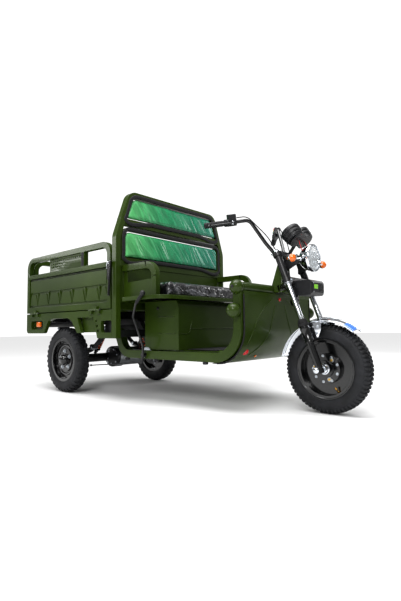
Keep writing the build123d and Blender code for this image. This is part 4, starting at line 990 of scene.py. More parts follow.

# %% [markdown]
# ### Latches, beads and small fittings
# Each side gate is held by an over-centre latch: a black channel on the gate, a chrome hook and a
# black lever. The pads sit in black rubber beads, and the bed stands on rubber feet.

# %% Latches
for side, word in ((-1, "right"), (1, "left")):
    latch = softened(f"gate_latch_{word}", stoved, 1.2)
    put(latch, f"side_gate_{word}", f"gate_latch_{word}")
    x, y, top = post_x - 0.015, side * (half_bed + 0.016), 0.941
    hook = wire(f"latch_hook_{word}", [(x - 0.028, side * (half_bed + 0.0085), top - 0.05),
                                       (x - 0.024, side * (half_bed + 0.012), top - 0.02),
                                       (x - 0.008, y, top - 0.004),
                                       (x + 0.006, side * (half_bed + 0.012), top - 0.012)], 3.5 * mm, chrome,
                                       sides=4)
    knob = turned(f"latch_knob_{word}", [(0, 0.006), (0.002, 0.0105), (0.008, 0.0125), (0.014, 0.0105),
                                         (0.017, 0.006)],
                  (x + 0.004, side * (half_bed + 0.006), top - 0.010),
                  (x + 0.004, side * (half_bed + 1), top - 0.010), chrome, sides=24)
    put(join(f"latch_bright_{word}", [hook, knob]), f"side_gate_{word}")

# %% Beads round the pads
beads = []
for node, round_by, drop in (("backrest_pad_lower", 0.050, 0.0), ("backrest_pad_upper", 0.058, 0.0)):
    lowest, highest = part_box(node)
    x = high("backrest_frame", "x") - 0.0015
    z0, z1 = lowest.z - 0.001, highest.z + 0.001
    wide = highest.y + 0.001
    narrow = wide - (z1 - z0) * (0.3513 if node == "backrest_pad_upper" else 0)
    path = [(x, -wide, z0), (x, -wide / 2, z0), (x, 0, z0), (x, wide / 2, z0), (x, wide, z0)]
    lean = (narrow - wide) / (z1 - z0)
    for share in (0.3, 0.6):
        z = z0 + (z1 - round_by - z0) * share
        path.append((x, wide + lean * (z - z0), z))
    for angle in (0, 22, 45, 68, 90):
        z = z1 - round_by + round_by * sin(radians(angle))
        path.append((x, wide + lean * (z1 - round_by - z0) - round_by * (1 - cos(radians(angle))) + lean * 0.4 * (z - z1 + round_by), z))
    path.append((x, 0, z1))
    for px, py, pz in reversed(path[7:12]):
        path.append((px, -py, pz))
    for px, py, pz in reversed(path[5:7]):
        path.append((px, -py, pz))
    bead = wire("bead", path, 13 * mm, soft_rubber, closed=True, sides=3)
    edit(bead)
    bpy.ops.mesh.select_all(action="SELECT")
    bpy.ops.transform.resize(value=(0.26, (2 * wide + 0.020) / (2 * wide), (z1 - z0 + 0.020) / (z1 - z0)),
                             center_override=(x + 0.002, 0, (z0 + z1) / 2))
    done()
    beads.append(bead)
put(join("pad_beads", beads), "body")

# %% [markdown]
# ## Fork
# The fork's upper tubes slide in the lower legs. The upper tubes are hard chromed and the sliders
# black. The collars at the top of the sliders hold ribbed rubber dust seals, and bright cast clamps
# hold the tubes in the lower fork bridge. Places on a leg are given by the height up the steering
# axis.

# %% Fork legs
rake = radians(20.5)
leg_half = (high("fork_stanchions", "y") - low("fork_stanchions", "y")) / 2 - 0.016
steer_way = Vector((-sin(rake), 0, cos(rake)))
steer_fore = Vector((cos(rake), 0, sin(rake)))
steer_foot = Vector((axle_front.x + 0.010 - 0.045 / cos(rake), 0, axle_front.z))


def on_leg(height, side, fore=0.045):
    """A point up a fork leg, height in millimetres above the axle along the steering axis."""
    return steer_foot + steer_way * height * mm + steer_fore * fore + Vector((0, side * leg_half, 0))


put(softened("fork_stanchions", chrome, 0), "steering", "fork_stanchions")
put(softened("fork_sliders", stoved, 1.2), "steering", "fork_sliders")
put(softened("fork_covers", powder, 1.0), "steering", "fork_covers")
put(softened("steering_yoke", powder, 1.5), "steering", "steering_yoke")
for side, word in ((-1, "right"), (1, "left")):
    seal = turned(f"dust_seal_{word}", [(0, 0.026), (0, 0.0285), (0.004, 0.030), (0.016, 0.030), (0.018, 0.027),
                                        (0.021, 0.0295), (0.024, 0.027),
                                        (0.027, 0.0285), (0.030, 0.0255), (0.033, 0.027), (0.036, 0.023),
                                        (0.041, 0.0205), (0.043, 0.0165)],
                  on_leg(238, side), on_leg(300, side), soft_rubber, sides=40)
    collar = turned(f"slider_collar_{word}", [(0, 0.0262), (0, 0.0275), (0.006, 0.0275), (0.008, 0.0262),
                                              (0.070, 0.0262), (0.072, 0.0275), (0.080, 0.0275), (0.080, 0.0262)],
                    on_leg(146, side), on_leg(300, side), stoved, sides=40)
    clamp = turned(f"bridge_clamp_{word}", [(0, 0.0215), (0.001, 0.0255), (0.006, 0.0265), (0.026, 0.0265),
                                            (0.031, 0.0255), (0.032, 0.0215)],
                   on_leg(500, side), on_leg(600, side), cast, sides=40)
    top_cap = turned(f"fork_cap_{word}", [(0, 0.019), (0.004, 0.019), (0.006, 0.016), (0.010, 0.0155), (0.012, 0.011),
                                          (0.016, 0.0105), (0.017, 0.008)],
                     on_leg(706, side), on_leg(800, side), chrome, sides=32)
    pinch = bolt(f"pinch_bolt_{word}", on_leg(516, side, 0.0715), steer_fore, 10, zinc)
    put(join(f"fork_fittings_{word}", [seal, collar]), "steering")
    put(join(f"fork_bright_{word}", [clamp, top_cap, pinch]), "steering")
    nut = turned(f"axle_nut_{word}", [(0, 0.0165), (0.009, 0.0165), (0.010, 0.0135), (0.013, 0.012), (0.016, 0.009),
                                      (0.017, 0.005)],
                 axle_front + Vector((0, side * (leg_half + 0.0205), 0)), axle_front + Vector((0, side, 0)), chrome,
                 sides=32)
    put(nut, "steering")

# %% [markdown]
# ## Front mudguard
# The mudguard is rolled from stainless sheet. A rolled sheet edge is a bead of wire all along it,
# and a strip of blue protective film is still stuck on its tip.

# %% Mudguard
guard = softened("front_mudguard", chrome, 0.6)
put(guard, "steering", "front_mudguard")
guard_r = 0.285


def on_guard(angle, across, lift=0.0):
    """A point over the wheel, by its angle above the front horizontal."""
    reach = guard_r - 0.018 * (across / 0.062) ** 2 + lift
    return axle_front + Vector((reach * cos(radians(angle)), across, reach * sin(radians(angle))))


edges = []
for across in (-0.062, 0.062):
    edges.append(wire("rolled_edge", [on_guard(50 + 118 * k / 14, across) for k in range(15)], 3 * mm, chrome,
                      sides=3))
edges.append(wire("rolled_tip", [on_guard(50.3, across) for across in (-0.062, -0.04, -0.015, 0.015, 0.04, 0.062)],
                  3 * mm, chrome, sides=3))
edges.append(wire("rolled_tail", [on_guard(167.7, across) for across in (-0.062, -0.04, -0.015, 0.015, 0.04, 0.062)],
                  3 * mm, chrome, sides=3))
centre_swage = wire("guard_swage", [on_guard(76 + 88 * k / 14, 0, 0.001) for k in range(15)], 4 * mm, chrome, sides=3)
put(join("mudguard_edges", edges + [centre_swage]), "steering")
blue_film, tree, surface = material("blue_protective_film", "#3F74C8", 0.3, coat_weight=0.5)
skinned(tree, surface, 14, 3.0, 0.5, 0.002)
bpy.ops.object.select_all(action="DESELECT")
bpy.ops.mesh.primitive_grid_add(x_subdivisions=8, y_subdivisions=8, size=1)
film = new("mudguard_film")
for vertex in film.data.vertices:
    vertex.co = on_guard(57 + vertex.co.x * 13, vertex.co.y * 0.118, 0.0022)
modify(film, "SOLIDIFY", thickness=0.0006, offset=1)
coat(smooth(outward(film)), blue_film)
put(film, "steering")

# %% Mudguard brackets
brackets = []
for side in (-1, 1):
    corners = [Vector((x, side * 0.0945, z)) for x, z in ((1.018, 0.472), (1.044, 0.418), (1.090, 0.428),
                                                          (1.106, 0.470), (1.104, 0.511), (1.034, 0.511))]
    brackets.append(plate("bracket", corners, (0, -side * 0.004, 0), chrome, bevel=1 * mm))
    y = sorted((side * 0.056, side * 0.0945))
    brackets.append(block("bracket_top", (1.034, y[0], 0.507), (1.104, y[1], 0.511), chrome, bevel=1 * mm))
    for x, z in ((1.080, 0.450), (1.085, 0.485)):
        brackets.append(bolt("bracket_bolt", (x, side * 0.0945, z), (0, side, 0), 11, zinc))
    for x in (1.048, 1.090):
        brackets.append(bolt("guard_bolt", (x, side * 0.075, 0.511), (0, 0, 1), 10, zinc))
put(join("mudguard_brackets", brackets), "steering")

# %% [markdown]
# ## Headlamp
# The headlamp is a chromed steel bowl with a bright reflector and a fluted glass lens. One turned
# profile goes up the outside of the bowl, round the rim, and down the inside, so the bowl has a
# real wall. The lens is a separate dome with upright flutes, drawn as a wave in its bump.

# %% Headlamp bowl, reflector, bulb and lens
lamp_front = high("headlamp", "x")
lamp_z = middle("headlamp").z
lamp_r = (high("headlamp", "y") - low("headlamp", "y")) / 2
if lamp_r < 0.08:
    lamp_r = 0.083
lamp_z = high("headlamp", "z") - lamp_r
back = Vector((lamp_front - 0.092, 0, lamp_z))
ahead = back + Vector((1, 0, 0))
bowl = turned("headlamp_bowl", [(0, 0.018), (0.006, 0.034), (0.016, 0.050), (0.030, 0.0625), (0.050, 0.072),
                                (0.068, 0.0765), (0.0705, 0.080),
                                (0.074, lamp_r - 0.0005), (0.084, lamp_r - 0.0005), (0.089, 0.080), (0.0895, 0.0765),
                                (0.084, 0.0755), (0.068, 0.071),
                                (0.050, 0.064), (0.034, 0.050), (0.024, 0.032), (0.020, 0.014)], back, ahead, chrome,
                                sides=56)
put(bowl, "steering", "headlamp")
bulb = turned("headlamp_bulb", [(0, 0.012), (0.008, 0.012), (0.010, 0.009), (0.020, 0.0095), (0.034, 0.009),
                                (0.040, 0.005)],
              back + Vector((0.020, 0, 0)), ahead, white_lens, sides=24)
put(bulb, "steering")
glass, tree, surface = material("fluted_lamp_glass", "#F6FAFC", 0.12, transmission_weight=0.7, coat_weight=0.2)
surface.inputs["IOR"].default_value = 1.5
where = add_node(tree, "TexCoord")
flutes = add_node(tree, "TexWave", [(where.outputs["Object"], "Vector")], wave_type="BANDS", bands_direction="Y",
                  scale=per_metre(11) / 6.283,
                  distortion=0.0)
flutes.inputs["Scale"].default_value = 30.0
across = add_node(tree, "TexWave", [(where.outputs["Object"], "Vector")], wave_type="BANDS", bands_direction="Z")
across.inputs["Scale"].default_value = 8.0
both = add_node(tree, "Math", [(flutes.outputs["Fac"], 0), (across.outputs["Fac"], 1)], operation="ADD")
ribs = add_node(tree, "Bump", [(both.outputs["Value"], "Height")], strength=0.28, distance=0.003)
tree.links.new(ribs.outputs["Normal"], surface.inputs["Normal"])
lens = turned("headlamp_lens", [(0, 0.0752), (0.003, 0.0755), (0.006, 0.070), (0.0095, 0.055), (0.0115, 0.035),
                                (0.0125, 0.012)],
              back + Vector((0.079, 0, 0)), ahead, glass, sides=56)
put(lens, "steering")
for side, word in ((-1, "right"), (1, "left")):
    put(bolt(f"lamp_bolt_{word}", (lamp_front - 0.030, side * 0.089, lamp_z), (0, side, 0), 13, chrome), "steering")

# %% [markdown]
# ## Turn signals
# Each signal is an orange acrylic dome in a chromed cup, on a chromed stalk.

# %% Turn signals
signals = []
for side, word in ((-1, "right"), (1, "left")):
    y = side * 0.190
    seat = Vector((lamp_front - 0.044, y, lamp_z - 0.017))
    stalk = turned("stalk", [(0, 0.0095), (0.012, 0.0095), (0.014, 0.0068), (0.072, 0.0062), (0.080, 0.008),
                             (0.084, 0.010)],
                   (lamp_front - 0.044, side * 0.0895, lamp_z - 0.014), seat, chrome, sides=20)
    cup = turned("cup", [(0, 0.010), (0.004, 0.017), (0.012, 0.0215), (0.018, 0.0235), (0.021, 0.0235),
                         (0.021, 0.020)],
                 seat - Vector((0.0235, 0, 0)), seat + Vector((1, 0, 0)), chrome, sides=32)
    lens = turned(f"signal_lens_{word}", [(0, 0.0225), (0.006, 0.0225), (0.014, 0.020), (0.021, 0.014),
                                          (0.0245, 0.006)],
                  seat - Vector((0.0025, 0, 0)), seat + Vector((1, 0, 0)), orange_lens, sides=32)
    rear_lens = turned("rear_lens", [(0, 0.0105), (0.002, 0.0105), (0.003, 0.006)], seat - Vector((0.0235, 0, 0)),
                       seat - Vector((1, 0, 0)), orange_lens, sides=24)
    put(lens, "steering")
    put(rear_lens, "steering")
    signals += [stalk, cup]
put(join("signal_cups", signals), "steering", "turn_signals")

# %% [markdown]
# ## Instruments
# Two round instruments share a ribbed black ABS housing that leans back towards the rider. Each
# has a bezel and a dial with numbers and a needle. The housing's outer wall has twenty flats,
# which catch the light in facets.

# %% Instrument housing and dials
dial_face, tree, surface = material("printed_dial_face", "#101114", 0.5)
where = add_node(tree, "TexCoord")
speck = add_node(tree, "TexNoise", [(where.outputs["Object"], "Vector")], scale=per_metre(2), detail=2.0)
tone = add_node(tree, "ValToRGB", [(speck.outputs["Fac"], "Fac")])
tone.color_ramp.elements[0].color, tone.color_ramp.elements[1].color = linear("#0D0E11"), linear("#17181D")
tree.links.new(tone.outputs["Color"], surface.inputs["Base Color"])
dial_ink, tree, surface = material("white_dial_ink", "#E8EAEC", 0.5)
where = add_node(tree, "TexCoord")
speck = add_node(tree, "TexNoise", [(where.outputs["Object"], "Vector")], scale=per_metre(1.5), detail=2.0)
tone = add_node(tree, "MapRange", [(speck.outputs["Fac"], "Value")], to_min=0.4, to_max=0.6)
tree.links.new(tone.outputs["Result"], surface.inputs["Roughness"])
pod_way = Vector((-0.62, 0, 0.78)).normalized()
pod_mid = middle("instrument_pod")
pod_right = Vector((0, -1, 0))
pod_up = pod_way.cross(pod_right) * -1
shells, bezels, inks, faces_of = [], [], [], []
for side in (-1, 1):
    base = pod_mid + Vector((0, side * 0.056, 0)) - pod_way * 0.038
    shells.append(turned("pod_shell", [(0.004, 0.040), (0, 0.046), (0.004, 0.0545), (0.016, 0.0580), (0.018, 0.0545),
                                       (0.023, 0.0545), (0.025, 0.0590),
                                       (0.040, 0.0605), (0.042, 0.0565), (0.047, 0.0565), (0.049, 0.0612),
                                       (0.066, 0.0615), (0.073, 0.0575), (0.074, 0.053),
                                       (0.069, 0.051)], base, base + pod_way, abs_black, sides=20, bevel=0.8 * mm))
    bezels.append(turned("bezel", [(0, 0.0505), (0.004, 0.0505), (0.006, 0.048), (0.004, 0.0455), (0, 0.0455)],
                         base + pod_way * 0.068, base + pod_way, chrome, sides=48))
    faces_of.append(turned("dial", [(0, 0.046), (0.0015, 0.046), (0.002, 0.045)], base + pod_way * 0.068,
                           base + pod_way, dial_face, sides=48))
    centre = base + pod_way * 0.0705
    for k in range(11):
        angle = radians(225 - 27 * k)
        way = pod_right * cos(angle) + pod_up * sin(angle)
        inks.append(turned("tick", [(0, 0.0009), (0.006, 0.0009)], centre + way * 0.036, centre + way, dial_ink,
                           sides=6))
        if k % 2 == 0:
            bpy.ops.object.select_all(action="DESELECT")
            bpy.ops.object.text_add()
            number = new("dial_number")
            number.data.body = str(k * 8 if side < 0 else k * 10)
            number.data.size, number.data.align_x, number.data.align_y, number.data.extrude = 0.011, "CENTER", "CENTER", 0.0004
            spot = centre + way * 0.0275
            number.matrix_world = Matrix(((pod_right.x, pod_up.x, pod_way.x, spot.x),
                                          (pod_right.y, pod_up.y, pod_way.y, spot.y),
                                          (pod_right.z, pod_up.z, pod_way.z, spot.z), (0, 0, 0, 1)))
            bpy.ops.object.convert(target="MESH")
            number = bpy.context.active_object
            bpy.ops.object.transform_apply(location=True, rotation=True, scale=True)
            inks.append(coat(number, dial_ink))
    way = pod_right * cos(radians(215)) + pod_up * sin(radians(215))
    needle = turned("needle", [(-0.006, 0.0016), (0, 0.002), (0.030, 0.0006)], centre + pod_way * 0.002,
                    centre + pod_way * 0.002 + way, orange_lens, sides=8)
    boss = turned("needle_boss", [(0, 0.0045), (0.003, 0.004), (0.004, 0.002)], centre, centre + pod_way, abs_black,
                  sides=16)
    put(join(f"dial_needle_{'right' if side < 0 else 'left'}", [needle, boss]), "steering")
middle_block = softened("instrument_pod", abs_black, 2)
edit(middle_block)
bpy.ops.mesh.select_all(action="SELECT")
bpy.ops.transform.resize(value=(0.86, 0.80, 0.86), center_override=pod_mid)
bpy.ops.transform.translate(value=-pod_way * 0.014)
done()
put(join("pod_housing", shells + [middle_block]), "steering", "instrument_pod")
put(join("pod_bezels", bezels), "steering")
put(join("dial_faces", faces_of), "steering")
put(join("dial_marks", inks), "steering")
switch = turned("ignition_lock", [(0, 0.013), (0.006, 0.013), (0.008, 0.011), (0.0095, 0.011), (0.0095, 0.004)],
                pod_mid + pod_way * 0.030, pod_mid + pod_way, chrome, sides=32)
put(switch, "steering")

# %% [markdown]
# ## Handlebar and hand controls
# The bar is bent steel tube in black. The grips are ribbed rubber sleeves pushed over it, the
# levers are forged and painted black, and the switches are moulded. Places are measured inwards from
# the bar's end along its straight part, as on the CAD shape.

# %% Handlebar, grips and levers
put(softened("handlebar", stoved, 0), "steering", "handlebar")
put(softened("control_cables", soft_rubber, 0), "steering", "control_cables")
put(softened("pod_bracket", powder, 0.8), "steering", "pod_bracket")
button_green, tree, surface = material("green_button_plastic", "#2E8B57", 0.35)
button_red = material("red_button_plastic", "#C2241E", 0.35)[0]
button_yellow = material("yellow_button_plastic", "#D9A514", 0.35)[0]
for moulded in (button_green, button_red, button_yellow):
    tree = moulded.node_tree
    surface = tree.nodes["Principled BSDF"]
    where = add_node(tree, "TexCoord")
    grain = add_node(tree, "TexNoise", [(where.outputs["Object"], "Vector")], scale=per_metre(1.5), detail=2.0)
    spread = add_node(tree, "MapRange", [(grain.outputs["Fac"], "Value")], to_min=0.28, to_max=0.46)
    tree.links.new(spread.outputs["Result"], surface.inputs["Roughness"])
bar_foot = Vector((axle_front.x - 0.300, 0, low("handlebar", "z") + 0.019))
for side, word in ((-1, "right"), (1, "left")):
    tip = Vector((0.52175, side * 0.380, 1.0973))
    run = Vector((-0.170, side * 0.215, -0.045)).normalized()
    fore = Vector((1, 0, -0.12))
    fore = (fore - run * fore.dot(run)).normalized()
    upward = Vector((0.3, 0, 1)).normalized()
    riderward = run.cross(upward).normalized()
    if riderward.x > 0:
        riderward *= -1
    ribs = [(0, 0.011), (0.002, 0.0165), (0.006, 0.0178), (0.009, 0.0166)]
    for k in range(13):
        ribs += [(0.012 + 0.008 * k, 0.0178), (0.0155 + 0.008 * k, 0.0178), (0.017 + 0.008 * k, 0.0164),
                 (0.0185 + 0.008 * k, 0.0164)]
    ribs += [(0.124, 0.0166), (0.127, 0.0215), (0.133, 0.0222), (0.136, 0.019)]
    grip = turned(f"grip_{word}", ribs, tip + run * 0.007, tip - run, soft_rubber, sides=32)
    put(grip, "steering")
    controls = softened(f"hand_controls_{word}", abs_black, 1.4)
    perch_at = tip - run * 0.158
    perch = turned("perch", [(0.010, 0.012), (0.030, 0.011), (0.040, 0.010), (0.042, 0.006)], perch_at,
                   perch_at + fore, powder, sides=24)
    split = turned(f"housing_seam_{word}", [(0, 0.0236), (0.0016, 0.0236)], tip - run * 0.152, tip - run, soft_rubber,
                   sides=40)
    put(join(f"hand_controls_{word}_finished", [controls, perch]), "steering", f"hand_controls_{word}")
    put(split, "steering")
    track = [(0.166, 0.034), (0.150, 0.045), (0.125, 0.050), (0.090, 0.050), (0.050, 0.052), (0.020, 0.058)]
    blade = wire("lever", [tip - run * along + fore * ahead for along, ahead in track], 4.6 * mm, stoved, sides=4)
    end_at = tip - run * 0.016 + fore * 0.0587
    knob = turned("lever_ball", [(0, 0.0045), (0.0025, 0.0066), (0.007, 0.0078), (0.0115, 0.0066), (0.014, 0.0035)],
                  end_at, end_at + run, stoved, sides=20)
    pivot = turned("lever_pivot", [(-0.011, 0.0065), (-0.010, 0.0075), (0.010, 0.0075), (0.011, 0.0065)],
                   tip - run * 0.160 + fore * 0.035,
                   tip - run * 0.160 + fore * 0.035 + upward, chrome, sides=20)
    put(join(f"brake_lever_{word}", [blade, knob, pivot]), "steering")
    face = tip - run * 0.166 + upward * 0.026 + riderward * 0.0215
    for lift, finish, radius in ((-0.013, button_green, 0.0055), (0.0, button_yellow, 0.0045),
                                 (0.013, button_red, 0.0060)):
        button = turned(f"button_{word}", [(0, radius), (0.003, radius), (0.0042, radius * 0.7)],
                        face + upward * lift, face + upward * lift + riderward, finish, sides=24)
        put(button, "steering")
    rider_screw = bolt(f"housing_screw_{word}", tip - run * 0.178 + upward * -0.005 + riderward * 0.0225, riderward,
                       6, zinc)
    put(rider_screw, "steering")

# %% Handlebar clamps, top nut and lock
clamps = []
for y in (-0.050, 0.050):
    clamps.append(turned("bar_clamp", [(-0.013, 0.0185), (-0.012, 0.0200), (0.012, 0.0200), (0.013, 0.0185)],
                         (bar_foot.x, y, bar_foot.z),
                         (bar_foot.x, y + 1, bar_foot.z), chrome, sides=32))
    for fore_aft in (-0.012, 0.012):
        clamps.append(bolt("clamp_bolt", (bar_foot.x + fore_aft, y, bar_foot.z + 0.017), (-0.1, 0, 1), 9, zinc))
put(join("bar_clamps", clamps), "steering")
crown_way = Vector((-sin(radians(20.5)), 0, cos(radians(20.5))))
crown_at = Vector((axle_front.x + 0.010 - 0.045 / cos(radians(20.5)), 0, axle_front.z)) + crown_way * 0.697
crown_nut = turned("crown_nut", [(0, 0.019), (0.010, 0.019), (0.012, 0.016), (0.014, 0.0115), (0.018, 0.010)],
                   crown_at, crown_at + crown_way, chrome, sides=6)
put(crown_nut, "steering")

# %% [markdown]
# ## Speaker box, horn and wiring behind the lamp
# Music and reversing beeps come from a plain moulded box under the headlamp, with a blank lime
# label on its right half. A disc horn hangs behind the fork. Red and black wires run from the lamp and
# the instruments down into the frame.

# %% Speaker box, horn and red wiring
lime, tree, surface = material("lime_label_film", "#7FCB1E", 0.35, coat_weight=0.4)
where = add_node(tree, "TexCoord")
weave = add_node(tree, "TexNoise", [(where.outputs["Object"], "Vector")], scale=per_metre(4), detail=3.0)
tone = add_node(tree, "ValToRGB", [(weave.outputs["Fac"], "Fac")])
tone.color_ramp.elements[0].color, tone.color_ramp.elements[1].color = linear("#6DB912"), linear("#93DA35")
tree.links.new(tone.outputs["Color"], surface.inputs["Base Color"])
box_front, box_low = high("speaker_box", "x"), low("speaker_box", "z")
speaker = softened("speaker_box", abs_black, 2)
grille = []
for k in range(5):
    z = box_low + 0.024 + 0.0085 * k
    grille.append(block("grille_bar", (box_front - 0.001, 0.010, z), (box_front + 0.0022, 0.062, z + 0.0035),
                        abs_black, bevel=1 * mm))
for y in (-0.060, 0.060):
    for z in (box_low + 0.019, box_low + 0.069):
        grille.append(turned("box_screw", [(0, 0.0035), (0.0015, 0.0035), (0.002, 0.0025)],
                             (box_front - 0.0005, y, z), (box_front + 1, y, z), zinc, sides=12))
put(join("speaker_box_finished", [speaker] + grille[:5]), "steering", "speaker_box")
put(join("box_screws", grille[5:]), "steering")
label = block("blank_label", (box_front - 0.0008, -0.054, box_low + 0.036),
              (box_front + 0.0012, -0.009, box_low + 0.061), lime, bevel=0.6 * mm)
put(label, "steering")
horn_at = Vector((0.905, 0.0, 0.640))
horn = turned("horn", [(-0.030, 0.012), (-0.022, 0.014), (-0.020, 0.030), (-0.012, 0.034), (-0.008, 0.034),
                       (-0.006, 0.0385), (0.000, 0.0385), (0.003, 0.034),
                       (0.005, 0.022), (0.011, 0.018), (0.013, 0.012)], horn_at, horn_at + Vector((1, 0, -0.15)),
                       stoved, sides=40)
strap = wire("horn_strap", [horn_at + Vector((-0.024, 0, 0.006)), horn_at + Vector((-0.022, 0, 0.05)),
                            horn_at + Vector((-0.012, 0, 0.088))], 5 * mm, zinc, sides=3)
put(horn, "steering")
put(strap, "steering")


def flex(name, hex_colour):
    """PVC cable sheath: smooth, soft and a little waxy, with a patchy bloom."""
    item, tree, surface = material(name, hex_colour, 0.4, coat_weight=0.2)
    where = add_node(tree, "TexCoord")
    bloom = add_node(tree, "TexNoise", [(where.outputs["Object"], "Vector")], scale=per_metre(12), detail=3.0)
    spread = add_node(tree, "MapRange", [(bloom.outputs["Fac"], "Value")], to_min=0.32, to_max=0.52)
    tree.links.new(spread.outputs["Result"], surface.inputs["Roughness"])
    return item


red_flex, white_nylon = flex("red_pvc_wire", "#C3161B"), flex("white_nylon_connector", "#E9E7E0")
blue_flex, yellow_flex = flex("blue_pvc_wire", "#1F4FA8"), flex("yellow_pvc_wire", "#D8B21C")
pod_foot = middle("instrument_pod") - Vector((-0.62, 0, 0.78)).normalized() * 0.040
runs = [(red_flex, [(0, -0.030, 0), (0.02, -0.048, -0.045), (0.032, -0.030, -0.100)]),
        (red_flex, [(0, 0.032, 0), (0.03, 0.052, -0.040), (0.030, 0.024, -0.104)]),
        (soft_rubber, [(0.004, -0.012, 0), (0.036, -0.016, -0.050), (0.030, -0.008, -0.100)]),
        (soft_rubber, [(0.002, 0.010, 0), (0.040, 0.014, -0.050), (0.034, 0.010, -0.102)])]
for number, (finish, steps) in enumerate(runs):
    loom = wire(f"lamp_wire_{number}", [pod_foot + Vector(step) for step in steps], 2.2 * mm, finish, soft=True,
                sides=3)
    put(loom, "steering")

# %% [markdown]
# ## Handbrake
# A steel lever at the rider's right hand, with a rubber sleeve and a round knob, turns on a
# toothed ratchet plate by the sill. A long thin rod takes the pull back to the rear axle.

# %% Handbrake lever
put(softened("handbrake", powder, 0), "body", "handbrake")
knob_at = Vector((high("handbrake", "x") - 0.015, low("handbrake", "y") + 0.015, high("handbrake", "z") - 0.015))
below = Vector((knob_at.x - 0.081, knob_at.y + 0.014, knob_at.z - 0.063))
sleeve_way = (knob_at - below).normalized()
sleeve = turned("lever_sleeve", [(0, 0.0090), (0.003, 0.0115), (0.020, 0.0105), (0.045, 0.0115), (0.070, 0.0105),
                                 (0.083, 0.0115), (0.086, 0.0095)],
                knob_at - sleeve_way * 0.094, knob_at, soft_rubber, sides=28)
ball = turned("lever_knob", [(-0.0155, 0.005), (-0.0130, 0.0105), (-0.007, 0.0155), (0.0, 0.0172), (0.007, 0.0155),
                             (0.0130, 0.0105), (0.0158, 0.005)],
              knob_at, knob_at + sleeve_way, abs_black, sides=32)
put(join("handbrake_grip", [sleeve, ball]), "body")
crank_at = Vector((-0.006, -0.3835, 0.306))
teeth = []
for k in range(22):
    angle = radians(20 + k * 7)
    reach = 0.058 if k % 2 else 0.050
    teeth.append(crank_at + Vector((reach * cos(angle), 0, reach * sin(angle))))
ratchet = plate("ratchet_plate", teeth + [crank_at + Vector((-0.03, 0, -0.012)),
                                          crank_at + Vector((0.03, 0, -0.012))], (0, -0.004, 0), zinc)
put(ratchet, "body")
put(bolt("crank_nut", (crank_at.x, -0.411, crank_at.z), (0, -1, 0), 15, zinc), "body")

# %% [markdown]
# ## Running gear
# The rear axle hangs on leaf springs with U-bolts, and a damper with a coil spring stands beside
# each. A coil spring is a round wire screwed round an axis, which is just what the Screw modifier
# does: a small circle, eight turns, one pitch a turn.

# %% Chassis, axle, springs and dampers
put(softened("chassis_frame", powder, 1.5), "body", "chassis_frame")
put(softened("leaf_springs", powder, 0.8), "body", "leaf_springs")
put(softened("rear_axle", powder, 1.2), "body", "rear_axle")
coils, dampers, rods = [], [], []
for side in (-1, 1):
    foot = Vector((axle_rear.x + 0.030, side * 0.235, axle_rear.z + 0.038))
    head = Vector((axle_rear.x + 0.200, side * 0.235, high("rear_shocks", "z") - 0.006))
    length = (head - foot).length
    dampers.append(turned("damper_tube", [(0.0, 0.009), (0.002, 0.0125), (0.018, 0.0125), (0.022, 0.016),
                                          (0.10, 0.016), (0.102, 0.013)], foot, head, stoved, sides=28))
    dampers.append(turned("spring_seat", [(0.046, 0.0165), (0.047, 0.027), (0.051, 0.027), (0.054, 0.018)], foot,
                          head, stoved, sides=32))
    dampers.append(turned("spring_cap", [(length - 0.056, 0.018), (length - 0.052, 0.0275), (length - 0.034, 0.0275),
                                         (length - 0.030, 0.019),
                                         (length - 0.012, 0.0125), (length - 0.002, 0.0125), (length, 0.009)], foot,
                                         head, stoved, sides=32))
    rods.append(turned("damper_rod", [(0.09, 0.0065), (length - 0.045, 0.0065)], foot, head, chrome, sides=20))
    bpy.ops.object.select_all(action="DESELECT")
    bpy.ops.mesh.primitive_circle_add(vertices=10, radius=0.0048, location=(0.0218, 0, 0.0),
                                      rotation=(radians(90), 0, 0))
    coil = new("coil_spring")
    apply_all(coil)
    pitch = (length - 0.056 - 0.054) / 8
    modify(coil, "SCREW", axis="Z", angle=tau, screw_offset=pitch, iterations=8, steps=24, render_steps=24)
    edit(coil)
    bpy.ops.mesh.select_all(action="SELECT")
    bpy.ops.mesh.remove_doubles(threshold=0.00001)
    bpy.ops.mesh.fill_holes(sides=0)
    bpy.ops.mesh.select_all(action="SELECT")
    bpy.ops.transform.translate(value=(0, 0, 0.055))
    bpy.ops.mesh.normals_make_consistent(inside=False)
    done()
    coils.append(aimed(coat(smooth(coil, 60), spring_enamel), foot, head))
put(join("dampers", dampers), "body", "rear_shocks")
put(join("coil_springs", coils), "body")
put(join("damper_rods", rods), "body")

# %% U-bolts and spring clips
hoops, clips = [], []
ax, az = axle_rear.x, axle_rear.z
for side in (-1, 1):
    for y in (side * 0.348, side * 0.312):
        hoops.append(wire("u_bolt", [(ax - 0.0315, y, az + 0.080), (ax - 0.0315, y, az),
                                     (ax - 0.0225, y, az - 0.0225), (ax, y, az - 0.0315),
                                     (ax + 0.0225, y, az - 0.0225), (ax + 0.0315, y, az),
                                     (ax + 0.0315, y, az + 0.080)], 4.5 * mm, zinc, sides=3))
        for x in (ax - 0.0315, ax + 0.0315):
            hoops.append(bolt("u_nut", (x, y, az + 0.063), (0, 0, 1), 13, zinc))
    for end in (-1, 1):
        centre = Vector((ax + end * 0.150, side * 0.330, az + 0.0985))
        clip = block("spring_clip", centre - Vector((0.010, 0.0285, 0.021)), centre + Vector((0.010, 0.0285, 0.017)),
                     zinc, bevel=1.5 * mm)
        edit(clip)
        bpy.ops.mesh.select_all(action="SELECT")
        bpy.ops.transform.rotate(value=radians(26 * end), orient_axis="Y", center_override=centre)
        done()
        clips.append(clip)
        eye = Vector((ax + end * 0.330, side * 0.330, high("leaf_springs", "z") - 0.016))
        for face in (-1, 1):
            clips.append(bolt("eye_bolt", eye + Vector((0, face * 0.028, 0)), (0, face, 0), 15, zinc))
put(join("u_bolts", hoops), "body")
put(join("spring_clips", clips), "body")

